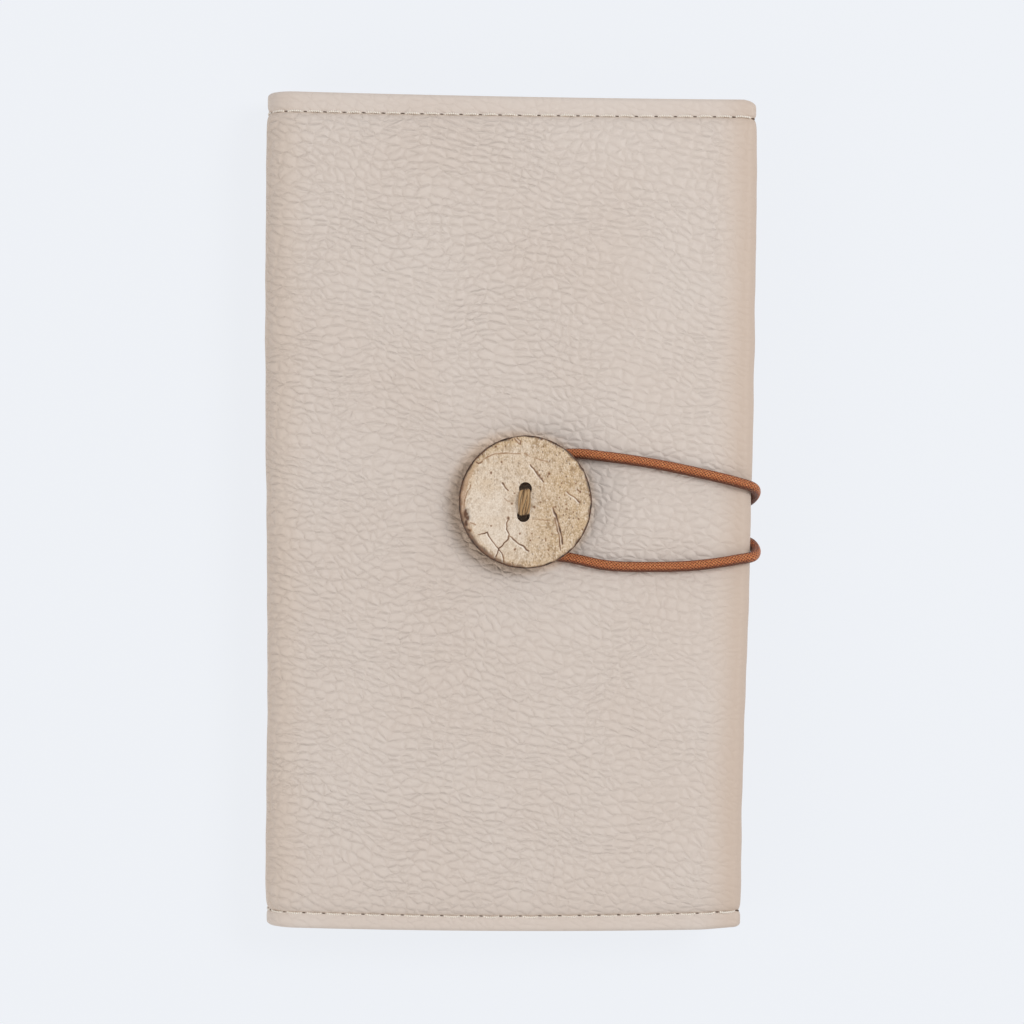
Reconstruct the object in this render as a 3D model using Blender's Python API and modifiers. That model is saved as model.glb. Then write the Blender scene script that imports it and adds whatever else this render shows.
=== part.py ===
# Travel organizer: a padded bifold cover in grained leather, closed by an elastic loop on a shell button.
# It lies closed on its back cover. X runs across it from the spine, Y up its height and Z up from the table.
import math

import bmesh
import bpy
from mathutils import Vector

mm = 0.001

# cover
cover_width = 116 * mm
cover_height = 200 * mm
leather = 1.1 * mm
hem = 4 * mm
swell_length = 9 * mm
seam_pinch = 0.6 * mm
corner_radius = 2.5 * mm
touch_gap = 0.3 * mm

# folds
spine_radius = 7 * mm
shoulder_reach = 9 * mm
shoulder_drop = 1 * mm
back_step = 2 * mm
back_seam_lift = 3 * mm
hinge_share = 0.215

# layers inside each cover
padding = 1.5 * mm
board = 1 * mm
lining = 0.4 * mm
board_spine_margin = 11 * mm
board_seam_margin = 1 * mm
board_corner = 4 * mm
padding_round = 0.6 * mm
lining_reach_share = 0.55

# sleeves and pockets
sleeve_margin = 17 * mm
passport_gap = 4.5 * mm
pocket_sheet = 0.6 * mm
pocket_side_margin = 1.5 * mm
pocket_corner = 3 * mm
card_pocket_count = 3
card_pocket_height = 66 * mm
card_pocket_step = 16 * mm
document_pocket_height = 106 * mm
thumb_notch_radius = 11 * mm
closing_gap = 0.6 * mm

# button
button_diameter = 31.5 * mm
button_thickness = 3.6 * mm
button_round = 0.7 * mm
button_crown = 0.3 * mm
button_x = 3.5 * mm
button_y = 2.4 * mm
button_hole = 3 * mm
button_hole_pitch = 6.4 * mm
twine = 2 * mm
backing = 0.6 * mm
backing_diameter = 12 * mm

# elastic loop
cord = 2.5 * mm
cord_step = 4 * mm
loop_nose_x = -0.9 * mm
loop_nose_y = 1.2 * mm
loop_half_spread = 12.4 * mm
loop_full_x = 14.4 * mm
loop_edge_slack = 0.6 * mm
anchor_y = -2.9 * mm
tail_spacing = 2.9 * mm
knot_diameter = 5.4 * mm

# The strands cross the cover from the button to the right edge: how far along, and how high on the cover.
upper_strand_route = ((0.35, 12.9 * mm), (0.55, 11.2 * mm), (0.75, 8.8 * mm))
lower_strand_route = ((0.35, -12.9 * mm), (0.55, -13.3 * mm), (0.75, -12.9 * mm))
upper_edge_route = (6.2 * mm, 5.6 * mm, 5 * mm, 2.1 * mm)
lower_edge_route = (-11.6 * mm, -10.8 * mm, -9.8 * mm, -7.4 * mm)

# smoothness
corner_row_shares = (0, 0.12, 0.45, 1)
swell_row_shares = (0, 0.06, 0.2, 0.45, 1)
corner_steps = 4
shoulder_steps = 3
tip_steps = 8
plate_corner_steps = 4
button_steps = 40
cutter_overrun = 1 * mm

# places worked out from the sizes
cord_radius = cord / 2
half_height = (cover_height - leather) / 2
seam_y = half_height - hem
seam_depth = 2 * leather + touch_gap
note_gap = backing + 2 * touch_gap
packed_layers = leather + touch_gap + padding + touch_gap + board + touch_gap + lining
front_depth = packed_layers + note_gap + leather
back_depth = packed_layers + passport_gap + leather
pocket_layer = touch_gap + pocket_sheet
card_stack = card_pocket_count * pocket_layer
thickness = back_depth + pocket_layer + closing_gap + card_stack + front_depth
loop_overhang = touch_gap + cord
middle_x = -loop_overhang / 2
spine_x = middle_x - cover_width / 2
edge_x = middle_x + cover_width / 2
back_edge_x = edge_x - back_step
hinge_inset = spine_radius * hinge_share
board_half_height = seam_y - swell_length - board_seam_margin
board_spine_x = spine_x + board_spine_margin
lining_half_height = seam_y - swell_length * (1 - lining_reach_share)
button_base = thickness + touch_gap + cord + touch_gap
button_top = button_base + button_thickness
tip_radius = front_depth / 2 - shoulder_drop
tip_x = edge_x - tip_radius
tip_z = thickness - front_depth / 2
cord_z = thickness + touch_gap + cord_radius
release_x = edge_x + loop_edge_slack
release_z = (cord_z + cord_radius) / 2
anchor_z = back_depth / 2
knot_x = back_edge_x - leather - touch_gap - knot_diameter / 2


def shade(name, red, green, blue, roughness):
    # one plain finish, its colour given as screen levels from 0 to 255
    material = bpy.data.materials.new(name)
    material.use_nodes = True
    surface = material.node_tree.nodes["Principled BSDF"]
    levels = [(level / 255) ** 2.2 for level in (red, green, blue)]
    surface.inputs["Base Color"].default_value = (*levels, 1)
    surface.inputs["Roughness"].default_value = roughness
    surface.inputs["Metallic"].default_value = 0
    return material


def add_object(name, data, collection, material=None):
    thing = bpy.data.objects.new(name, data)
    collection.objects.link(thing)
    if material:
        data.materials.append(material)
    return thing


def fullness(y):
    # how far the padding fills the cover: none at the seams, all of it a swell's length inside them
    inside = (seam_y - abs(y)) / swell_length
    if inside <= 0:
        return 0
    return math.sqrt(1 - (1 - min(inside, 1)) ** 2)


def side_inset(y):
    # the seams draw the side folds in, and the hems end in rounded corners
    past = max(abs(y) - (half_height - corner_radius), 0)
    rounding = corner_radius - math.sqrt(max(corner_radius**2 - past**2, 0))
    return seam_pinch * (1 - fullness(y)) + rounding


def front_face(y):
    return thickness - (front_depth - seam_depth) / 2 * (1 - fullness(y))


def back_face(y):
    return back_seam_lift * (1 - fullness(y))


def front_sleeve_face(y):
    return front_face(y) - seam_depth - (front_depth - seam_depth) * fullness(y)


def back_sleeve_face(y):
    return back_face(y) + seam_depth + (back_depth - seam_depth) * fullness(y)


def sheet_rows(limit):
    # heights of the mesh rows, close together where the sheet bends at a hem
    corner_rows = [half_height - corner_radius * share for share in corner_row_shares]
    swell_rows = [seam_y - swell_length * share for share in swell_row_shares]
    upper = [y for y in corner_rows + swell_rows if y < limit] + [limit]
    return sorted([-y for y in upper] + upper)


def arc(x, z, radius, start, end, steps):
    angles = [math.radians(start + (end - start) * i / steps) for i in range(steps + 1)]
    return [(x + radius * math.cos(a), z + radius * math.sin(a)) for a in angles]


def fold_corner(y, side, depth):
    # half of a spine corner, from its split plane to the cover: side is 1 at the front and -1 at the back
    face = front_face(y) if side > 0 else back_face(y)
    radius = min(spine_radius, (front_face(y) - back_face(y)) / 2)
    centre_x = spine_x + side_inset(y) + radius
    split = math.degrees(touch_gap / 2 / (radius - depth))
    start = 180 - side * (45 + split)
    return arc(centre_x, face - side * radius, radius - depth, start, 180 - side * 90, corner_steps)


def cover_section(y, side, edge):
    # outer sheet from the spine split to the edge, round the edge fold and back along the sleeve
    if side > 0:
        outer = front_face(y) - leather / 2
        inner = front_sleeve_face(y) + leather / 2
    else:
        outer = back_face(y) + leather / 2
        inner = back_sleeve_face(y) - leather / 2
    drop = shoulder_drop * fullness(y)
    radius = abs(outer - inner) / 2 - drop
    apex = edge - leather / 2 - side_inset(y)
    start_x = apex - shoulder_reach
    run = shoulder_reach - radius
    shoulder = []
    for i in range(shoulder_steps):
        share = i / shoulder_steps
        shoulder.append((start_x + run * share, drop * (1 - math.cos(math.pi * share)) / 2))
    points = fold_corner(y, side, leather / 2)
    points += [(x, outer - side * fall) for x, fall in shoulder]
    points += arc(apex - radius, (outer + inner) / 2, radius, side * 90, -side * 90, tip_steps)
    points += [(x, inner + side * fall) for x, fall in reversed(shoulder)]
    points.append((spine_x + sleeve_margin, inner))
    return points


def spine_section(y, depth):
    lower = fold_corner(y, -1, depth)
    upper = fold_corner(y, 1, depth)
    mirrored_lower = turn_corner(lower, y, -1)
    mirrored_upper = turn_corner(upper, y, 1)
    return mirrored_lower + list(reversed(mirrored_upper))


def turn_corner(points, y, side):
    # the spine's half of a corner is the cover's half reflected in the split plane
    face = front_face(y) if side > 0 else back_face(y)
    radius = min(spine_radius, (front_face(y) - back_face(y)) / 2)
    centre_x = spine_x + side_inset(y) + radius
    centre_z = face - side * radius
    return [(centre_x - side * (z - centre_z), centre_z - side * (x - centre_x)) for x, z in points]


def lining_section(y, side, edge):
    # against the leather in the spine corner, then down under the board to the edge of the cover
    depth = leather + touch_gap + lining / 2
    face = thickness if side > 0 else 0
    flat = face - side * (packed_layers - lining / 2)
    corner = fold_corner(y, side, depth)
    last_x, last_z = corner[-1]
    end_x = board_spine_x - touch_gap - lining
    points = list(corner)
    for i in range(1, shoulder_steps + 1):
        share = i / shoulder_steps
        ease = (1 - math.cos(math.pi * share)) / 2
        points.append((last_x + (end_x - last_x) * share, last_z + (flat - last_z) * ease))
    points.append((edge - shoulder_reach - leather, flat))
    return points


def sheet(name, section, thick, limit, collection, material):
    rows = [[(x, y, z) for x, z in section(y)] for y in sheet_rows(limit)]
    build = bmesh.new()
    grid = [[build.verts.new(point) for point in row] for row in rows]
    for low, high in zip(grid, grid[1:]):
        for i in range(len(low) - 1):
            build.faces.new((low[i], low[i + 1], high[i + 1], high[i]))
    mesh = bpy.data.meshes.new(name)
    build.to_mesh(mesh)
    build.free()
    thing = add_object(name, mesh, collection, material)
    solid = thing.modifiers.new("Thickness", "SOLIDIFY")
    solid.thickness = thick
    solid.offset = 0
    solid.use_even_offset = True
    mesh.shade_smooth()
    return thing


def rounded_outline(low_x, high_x, low_y, high_y, radius):
    centres = (
        (high_x - radius, high_y - radius, 0),
        (low_x + radius, high_y - radius, 90),
        (low_x + radius, low_y + radius, 180),
        (high_x - radius, low_y + radius, 270),
    )
    outline = []
    for x, y, start in centres:
        outline += arc(x, y, radius, start, start + 90, plate_corner_steps)
    return outline


def plate(name, outline, base, thick, collection, material):
    # a flat piece cut to an outline
    curve = bpy.data.curves.new(name, "CURVE")
    curve.dimensions = "2D"
    curve.fill_mode = "BOTH"
    curve.extrude = thick / 2
    spline = curve.splines.new("POLY")
    spline.points.add(len(outline) - 1)
    for point, (x, y) in zip(spline.points, outline):
        point.co = (x, y, 0, 1)
    spline.use_cyclic_u = True
    thing = add_object(name, curve, collection, material)
    thing.location.z = base + thick / 2
    return as_mesh(thing, collection)


def as_mesh(thing, collection):
    bpy.context.view_layer.update()
    evaluated = thing.evaluated_get(bpy.context.evaluated_depsgraph_get())
    mesh = bpy.data.meshes.new_from_object(evaluated)
    build = bmesh.new()
    build.from_mesh(mesh)
    bmesh.ops.remove_doubles(build, verts=build.verts, dist=touch_gap / 100)
    build.to_mesh(mesh)
    build.free()
    name = thing.name
    place = thing.matrix_world.copy()
    bpy.data.objects.remove(thing)
    solid = add_object(name, mesh, collection)
    solid.matrix_world = place
    return solid


def soften(thing, width):
    bevel = thing.modifiers.new("Soft edge", "BEVEL")
    bevel.width = width
    bevel.segments = 2
    bevel.limit_method = "ANGLE"
    bevel.angle_limit = math.radians(60)


def cylinder_cutter(name, centre, radius, depth, along, cutters):
    build = bmesh.new()
    bmesh.ops.create_cone(
        build, cap_ends=True, segments=16, radius1=radius, radius2=radius, depth=depth
    )
    mesh = bpy.data.meshes.new(name)
    build.to_mesh(mesh)
    build.free()
    cutter = add_object(name, mesh, cutters)
    cutter.location = centre
    if along == "x":
        cutter.rotation_euler.y = math.radians(90)
    cutter.hide_render = True
    cutter.display_type = "WIRE"
    return cutter


def cut(thing, cutter):
    hole = thing.modifiers.new("Cut by " + cutter.name, "BOOLEAN")
    hole.operation = "DIFFERENCE"
    hole.solver = "EXACT"
    hole.object = cutter


def smooth_route(points, step):
    # places along a smooth curve through the points of a route
    route = [Vector(point) for point in points]
    lengths = [(b - a).length for a, b in zip(route, route[1:])]
    slopes = [(b - a) / length for a, b, length in zip(route, route[1:], lengths)]
    tangents = [slopes[0]]
    for before, after, low, high in zip(slopes, slopes[1:], lengths, lengths[1:]):
        tangents.append((before * high + after * low) / (low + high))
    tangents.append(slopes[-1])
    places = [route[0]]
    for i, length in enumerate(lengths):
        count = max(1, round(length / step))
        for j in range(1, count + 1):
            t = j / count
            places.append(
                route[i] * (2 * t**3 - 3 * t**2 + 1)
                + tangents[i] * (length * (t**3 - 2 * t**2 + t))
                + route[i + 1] * (3 * t**2 - 2 * t**3)
                + tangents[i + 1] * (length * (t**3 - t**2))
            )
    return places


def tube(name, places, radius, collection, material):
    curve = bpy.data.curves.new(name, "CURVE")
    curve.dimensions = "3D"
    curve.bevel_depth = radius
    curve.bevel_resolution = 2
    curve.use_fill_caps = True
    spline = curve.splines.new("POLY")
    spline.points.add(len(places) - 1)
    for point, place in zip(spline.points, places):
        point.co = (*place, 1)
    return add_object(name, curve, collection, material)


def pivot(name, x, z, collection):
    # an empty on a joint's axis, which carries the pieces that turn about it
    empty = bpy.data.objects.new(name, None)
    empty.location = (x, 0, z)
    empty.empty_display_size = knot_diameter
    collection.objects.link(empty)
    return empty


def carry(empty, things):
    bpy.context.view_layer.update()
    for thing in things:
        thing.parent = empty
        thing.matrix_parent_inverse = empty.matrix_world.inverted()


def make_layers(side, edge, names, collection, finishes):
    # padding, board and lining of one cover, stacked inward from the outer sheet
    face = thickness if side > 0 else 0
    right = edge - shoulder_reach - leather
    outline = rounded_outline(
        board_spine_x, right, -board_half_height, board_half_height, board_corner
    )
    made = {}
    depth = leather + touch_gap
    for layer, thick in (("padding", padding), ("board", board)):
        base = face - depth - thick if side > 0 else face + depth
        made[layer] = plate(names[layer], outline, base, thick, collection, finishes[layer])
        depth += thick + touch_gap
    soften(made["padding"], padding_round)
    made["lining"] = sheet(
        names["lining"],
        lambda y: lining_section(y, side, edge),
        lining,
        lining_half_height,
        collection,
        finishes["lining"],
    )
    return made


def make_card_pockets(collection, material):
    # stepped panels on the inner face of the front sleeve, the tallest next to the sleeve
    left = spine_x + sleeve_margin + pocket_side_margin
    right = edge_x - shoulder_reach - pocket_side_margin
    top = thickness - front_depth
    pockets = []
    for i in range(card_pocket_count):
        height = card_pocket_height + card_pocket_step * (card_pocket_count - 1 - i)
        outline = rounded_outline(
            left, right, -board_half_height, height - board_half_height, pocket_corner
        )
        base = top - pocket_layer * (i + 1)
        name = f"card_pocket_{i + 1}"
        pockets.append(plate(name, outline, base, pocket_sheet, collection, material))
    return pockets


def make_document_pocket(collection, material):
    # one deep panel on the inner face of the back sleeve, with a thumb notch in its open edge
    left = spine_x + sleeve_margin + pocket_side_margin
    right = back_edge_x - shoulder_reach - pocket_side_margin
    top = document_pocket_height - board_half_height
    middle = (left + right) / 2
    outline = rounded_outline(left, right, -board_half_height, top, pocket_corner)
    corner_points = plate_corner_steps + 1
    notch = arc(middle, top, thumb_notch_radius, 0, -180, 2 * plate_corner_steps)
    outline = outline[:corner_points] + notch + outline[corner_points:]
    base = back_depth + touch_gap
    return plate("document_pocket", outline, base, pocket_sheet, collection, material)


def make_button(collection, material, cutters):
    radius = button_diameter / 2
    profile = [(0, button_thickness)]
    profile += [(radius * 0.7, button_thickness - button_crown * 0.5)]
    crown_edge = button_thickness - button_crown
    profile += arc(radius - button_round, crown_edge - button_round, button_round, 90, 0, 3)
    profile += arc(radius - button_round, button_round, button_round, 0, -90, 3)
    profile += [(0, 0)]
    build = bmesh.new()
    verts = [build.verts.new((x, 0, z)) for x, z in profile]
    for a, b in zip(verts, verts[1:]):
        build.edges.new((a, b))
    mesh = bpy.data.meshes.new("closure_button")
    build.to_mesh(mesh)
    build.free()
    button = add_object("closure_button", mesh, collection, material)
    button.location = (middle_x + button_x, button_y, button_base)
    turn = button.modifiers.new("Turned", "SCREW")
    turn.steps = button_steps
    turn.render_steps = button_steps
    turn.use_merge_vertices = True
    turn.merge_threshold = touch_gap / 100
    for name, y in twine_holes():
        place = (middle_x + button_x, y, button_base + button_thickness / 2)
        depth = button_thickness + 2 * cutter_overrun
        cut(button, cylinder_cutter(f"button_{name}", place, button_hole / 2, depth, "z", cutters))
    return button


def twine_holes():
    half = button_hole_pitch / 2
    return (("upper_hole", button_y + half), ("lower_hole", button_y - half))


def make_button_thread(collection, material):
    # twine up through one hole, over the button and down through the other to the backing disc
    foot = thickness - packed_layers - touch_gap - backing
    over = button_top + twine / 2
    half = button_hole_pitch / 2
    x = middle_x + button_x
    bend = twine / 2
    route = [
        (x, button_y - half, foot),
        (x, button_y - half, button_top - bend),
        (x, button_y - half + bend / 2, over - bend / 2),
        (x, button_y - half + bend + bend / 2, over),
        (x, button_y + half - bend - bend / 2, over),
        (x, button_y + half - bend / 2, over - bend / 2),
        (x, button_y + half, button_top - bend),
        (x, button_y + half, foot),
    ]
    return tube("button_thread", route, twine / 2, collection, material)


def make_button_backing(collection, material):
    x = middle_x + button_x
    outline = arc(x, button_y, backing_diameter / 2, 0, 360, 24)[:-1]
    base = thickness - packed_layers - touch_gap - backing
    return plate("button_backing", outline, base, backing, collection, material)


def cut_for_twine(things, cutters):
    # needle holes through each layer that the button is tied to
    low = thickness - packed_layers - note_gap
    high = thickness + touch_gap
    for name, y in twine_holes():
        place = (middle_x + button_x, y, (low + high) / 2)
        radius = twine / 2 + touch_gap
        cutter = cylinder_cutter(f"needle_{name}", place, radius, high - low, "z", cutters)
        for thing in things:
            cut(thing, cutter)


def strand_over_cover(route, edge_route):
    # one strand from near the button, over the shoulder of the front cover and down to the release line
    start = middle_x + button_x
    span = edge_x - start
    wrap = tip_radius + touch_gap + cord_radius
    half_wrap = wrap * math.sqrt(0.5)
    shoulder_y, bend_y, outer_y, release_y = edge_route
    places = [(start + span * share, y, cord_z) for share, y in route]
    places.append((tip_x, shoulder_y, tip_z + wrap))
    places.append((tip_x + half_wrap, bend_y, tip_z + half_wrap))
    places.append((tip_x + wrap, outer_y, tip_z))
    places.append((release_x, release_y, release_z + touch_gap / 2))
    return places


def make_closure_loop(collection, material):
    nose_length = loop_full_x - loop_nose_x
    nose = []
    for degrees in (90, 115, 140, 160, 180, 200, 220, 245, 270):
        angle = math.radians(degrees)
        x = middle_x + loop_full_x + nose_length * math.cos(angle)
        nose.append((x, loop_nose_y + loop_half_spread * math.sin(angle), cord_z))
    upper = strand_over_cover(upper_strand_route, upper_edge_route)
    lower = strand_over_cover(lower_strand_route, lower_edge_route)
    route = list(reversed(upper)) + nose + lower
    return tube("closure_loop", smooth_route(route, cord_step), cord_radius, collection, material)


def make_loop_tail(name, release_y, side, collection, material):
    # from the release line down to the slot in the back cover's edge fold, and in to the knot
    slot_y = anchor_y + side * tail_spacing / 2
    reach = math.sqrt((knot_diameter / 2 + touch_gap) ** 2 - (tail_spacing / 2) ** 2)
    route = [
        (release_x, release_y, release_z - touch_gap / 2),
        (release_x - loop_edge_slack, (release_y + slot_y) / 2, (release_z + anchor_z) / 2),
        (back_edge_x + cord, slot_y + side * touch_gap, anchor_z + cord_radius),
        (back_edge_x + touch_gap, slot_y, anchor_z),
        (knot_x + reach, slot_y, anchor_z),
    ]
    return tube(name, smooth_route(route, cord), cord_radius, collection, material)


def make_knot(collection, material):
    build = bmesh.new()
    bmesh.ops.create_uvsphere(build, u_segments=16, v_segments=10, radius=knot_diameter / 2)
    mesh = bpy.data.meshes.new("loop_knot")
    build.to_mesh(mesh)
    build.free()
    knot = add_object("loop_knot", mesh, collection, material)
    knot.location = (knot_x, anchor_y, anchor_z)
    return knot


def cut_for_tails(leather_piece, cutters):
    for side in (-1, 1):
        place = (back_edge_x, anchor_y + side * tail_spacing / 2, anchor_z)
        radius = cord_radius + touch_gap
        cut(leather_piece, cylinder_cutter(f"tail_{side + 2}", place, radius, 2 * cord, "x", cutters))


def build_organizer():
    for thing in list(bpy.data.objects):
        bpy.data.objects.remove(thing)
    parts = bpy.data.collections.new("travel_organizer")
    cutters = bpy.data.collections.new("cutters")
    for collection in (parts, cutters):
        bpy.context.scene.collection.children.link(collection)
    cutters.hide_render = True

    finishes = {
        "leather": shade("leather", 209, 196, 187, 0.6),
        "lining": shade("lining", 176, 160, 146, 0.9),
        "padding": shade("padding", 226, 220, 208, 0.95),
        "board": shade("board", 150, 132, 110, 0.9),
        "button": shade("button", 214, 198, 172, 0.5),
        "twine": shade("twine", 205, 182, 132, 0.9),
        "elastic": shade("elastic", 176, 98, 58, 0.7),
    }

    back_names = {"padding": "back_padding", "board": "back_board", "lining": "back_lining"}
    front_names = {"padding": "front_padding", "board": "front_board", "lining": "front_lining"}

    back_leather = sheet(
        "back_leather",
        lambda y: cover_section(y, -1, back_edge_x),
        leather,
        half_height,
        parts,
        finishes["leather"],
    )
    cut_for_tails(back_leather, cutters)
    make_layers(-1, back_edge_x, back_names, parts, finishes)
    make_document_pocket(parts, finishes["leather"])
    make_loop_tail("loop_tail_upper", upper_edge_route[-1], 1, parts, finishes["elastic"])
    make_loop_tail("loop_tail_lower", lower_edge_route[-1], -1, parts, finishes["elastic"])
    make_knot(parts, finishes["elastic"])

    spine_leather = sheet(
        "spine_leather",
        lambda y: spine_section(y, leather / 2),
        leather,
        half_height,
        parts,
        finishes["leather"],
    )
    spine_lining = sheet(
        "spine_lining",
        lambda y: spine_section(y, leather + touch_gap + lining / 2),
        lining,
        lining_half_height,
        parts,
        finishes["lining"],
    )

    front_leather = sheet(
        "front_leather",
        lambda y: cover_section(y, 1, edge_x),
        leather,
        half_height,
        parts,
        finishes["leather"],
    )
    front_layers = make_layers(1, edge_x, front_names, parts, finishes)
    pockets = make_card_pockets(parts, finishes["leather"])
    button = make_button(parts, finishes["button"], cutters)
    thread = make_button_thread(parts, finishes["twine"])
    disc = make_button_backing(parts, finishes["board"])
    tied_layers = [front_leather, *front_layers.values(), disc]
    cut_for_twine(tied_layers, cutters)

    loop = make_closure_loop(parts, finishes["elastic"])

    spine_pivot = pivot("spine_fold", spine_x + hinge_inset, hinge_inset, parts)
    front_pivot = pivot("front_fold", spine_x + hinge_inset, thickness - hinge_inset, parts)
    loop_pivot = pivot("loop_release", release_x, release_z, parts)
    carry(spine_pivot, [spine_leather, spine_lining, front_pivot])
    carry(front_pivot, [*tied_layers, *pockets, button, thread])
    carry(loop_pivot, [loop])
    for axis in (spine_pivot, front_pivot, loop_pivot):
        x, _, z = axis.matrix_world.translation
        print(f"{axis.name}: turns about Y at x {x / mm:.3f} mm, z {z / mm:.3f} mm")
    print(f"closed thickness {thickness / mm:.2f} mm, to the top of the twine {(button_top + twine) / mm:.2f} mm")


build_organizer()
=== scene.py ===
import math

import bpy
import numpy as np
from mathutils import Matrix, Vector, noise


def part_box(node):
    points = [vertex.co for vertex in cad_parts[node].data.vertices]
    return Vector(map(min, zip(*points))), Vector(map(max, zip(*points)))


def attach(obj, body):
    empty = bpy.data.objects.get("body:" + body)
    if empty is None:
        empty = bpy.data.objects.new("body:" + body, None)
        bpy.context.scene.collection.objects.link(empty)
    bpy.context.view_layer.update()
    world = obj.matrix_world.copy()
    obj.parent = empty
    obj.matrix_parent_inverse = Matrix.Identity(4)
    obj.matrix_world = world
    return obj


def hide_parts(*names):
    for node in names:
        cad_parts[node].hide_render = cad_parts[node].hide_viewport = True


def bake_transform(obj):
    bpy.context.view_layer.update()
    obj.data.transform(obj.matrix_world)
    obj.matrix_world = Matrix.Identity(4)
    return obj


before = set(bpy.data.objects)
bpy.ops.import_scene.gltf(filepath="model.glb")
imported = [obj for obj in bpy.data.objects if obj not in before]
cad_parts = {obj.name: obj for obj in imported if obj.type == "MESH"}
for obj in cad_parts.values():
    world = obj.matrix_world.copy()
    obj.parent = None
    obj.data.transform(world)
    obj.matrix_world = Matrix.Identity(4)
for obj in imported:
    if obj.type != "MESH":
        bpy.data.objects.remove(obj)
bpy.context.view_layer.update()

mm = 0.001


# Small helpers for shapes.

def boxInMm(node):
    low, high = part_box(node)
    return low / mm, high / mm


def makeObject(name, data, finish=None):
    made = bpy.data.objects.new(name, data)
    bpy.context.scene.collection.objects.link(made)
    if finish:
        data.materials.append(finish)
    return made


def makeMesh(name, points, faces, finish=None, edges=()):
    # points in millimetres, faces with their outer side counterclockwise
    mesh = bpy.data.meshes.new(name)
    mesh.from_pydata((np.asarray(points, float) * mm).tolist(), edges, faces)
    mesh.validate()
    mesh.shade_smooth()
    return makeObject(name, mesh, finish)


def storeMarks(thing, copies=1, **marks):
    for name, values in marks.items():
        made = thing.data.attributes.new(name, "FLOAT", "POINT")
        made.data.foreach_set("value", np.tile(values.ravel(), copies).astype(np.float32))


def storeUv(thing, perCorner):
    # places in the pattern, in metres
    layer = thing.data.uv_layers.new(name="UVMap")
    layer.data.foreach_set("uv", perCorner.astype(np.float32).ravel())


def storePattern(thing, perPoint):
    storeUv(thing, perPoint[[loop.vertex_index for loop in thing.data.loops]])


def verticesOf(thing):
    # in millimetres
    return np.array([vertex.co for vertex in thing.data.vertices]) / mm


def finishedMesh(thing):
    # the evaluated shape as a plain mesh, with its modifiers gone
    mesh = bpy.data.meshes.new_from_object(thing.evaluated_get(bpy.context.evaluated_depsgraph_get()))
    mesh.name = thing.name
    thing.modifiers.clear()
    thing.data = mesh
    return thing


def between(low, high, share):
    return low * (1 - share) + high * share


def shareOf(value, low, high):
    # how far a value has come from low to high
    return np.clip((np.asarray(value, float) - low) / (high - low), 0, 1)


def smoothStep(value, low, high):
    share = shareOf(value, low, high)
    return share * share * (3 - 2 * share)


def hill(value, width):
    # 1 at zero, falling off smoothly on both sides
    return np.exp(-((value / width) ** 2))


def roundOver(share):
    # a quarter of a circle, from 0 up to 1
    return np.sqrt(np.clip(1 - (1 - share) ** 2, 0, 1))


def band(value, start, full, still, end):
    # 1 from full to still, and 0 before the start and after the end
    return smoothStep(value, start, full) * (1 - smoothStep(value, still, end))


def wander(x, y, size, seed):
    # smooth noise from about -1 to 1 over a sheet, size in millimetres
    flatX, flatY = np.broadcast_arrays(x, y)
    found = [noise.noise(Vector((a / size, b / size, seed))) for a, b in zip(flatX.ravel(), flatY.ravel())]
    return np.array(found).reshape(flatX.shape) * 1.6


def rounding(x, y):
    # what turns a square's grid into a circle's
    return np.maximum(np.abs(x), np.abs(y)) / np.maximum(np.hypot(x, y), 1e-9)


def quads(grid, turned=False):
    # the four corners of each cell of a grid
    a, b, c, d = grid[:-1, :-1], grid[:-1, 1:], grid[1:, 1:], grid[1:, :-1]
    made = np.stack((a, d, c, b) if turned else (a, b, c, d), axis=2)
    return made.reshape(-1, 4, *grid.shape[2:])


def smoothRoute(points, step):
    # places along a smooth curve through the points
    route = np.array(points, float)
    lengths = np.linalg.norm(np.diff(route, axis=0), axis=1)[:, None]
    slopes = np.diff(route, axis=0) / lengths
    low, high = lengths[:-1], lengths[1:]
    inner = (slopes[:-1] * high + slopes[1:] * low) / (low + high)
    tangents = np.concatenate((slopes[:1], inner, slopes[-1:]))
    places = [route[:1]]
    for i, length in enumerate(lengths[:, 0]):
        count = max(1, round(length / step))
        t = np.arange(1, count + 1)[:, None] / count
        here = route[i] * (2 * t**3 - 3 * t**2 + 1) + tangents[i] * (length * (t**3 - 2 * t**2 + t))
        there = route[i + 1] * (3 * t**2 - 2 * t**3) + tangents[i + 1] * (length * (t**3 - t**2))
        places.append(here + there)
    return np.concatenate(places)


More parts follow.
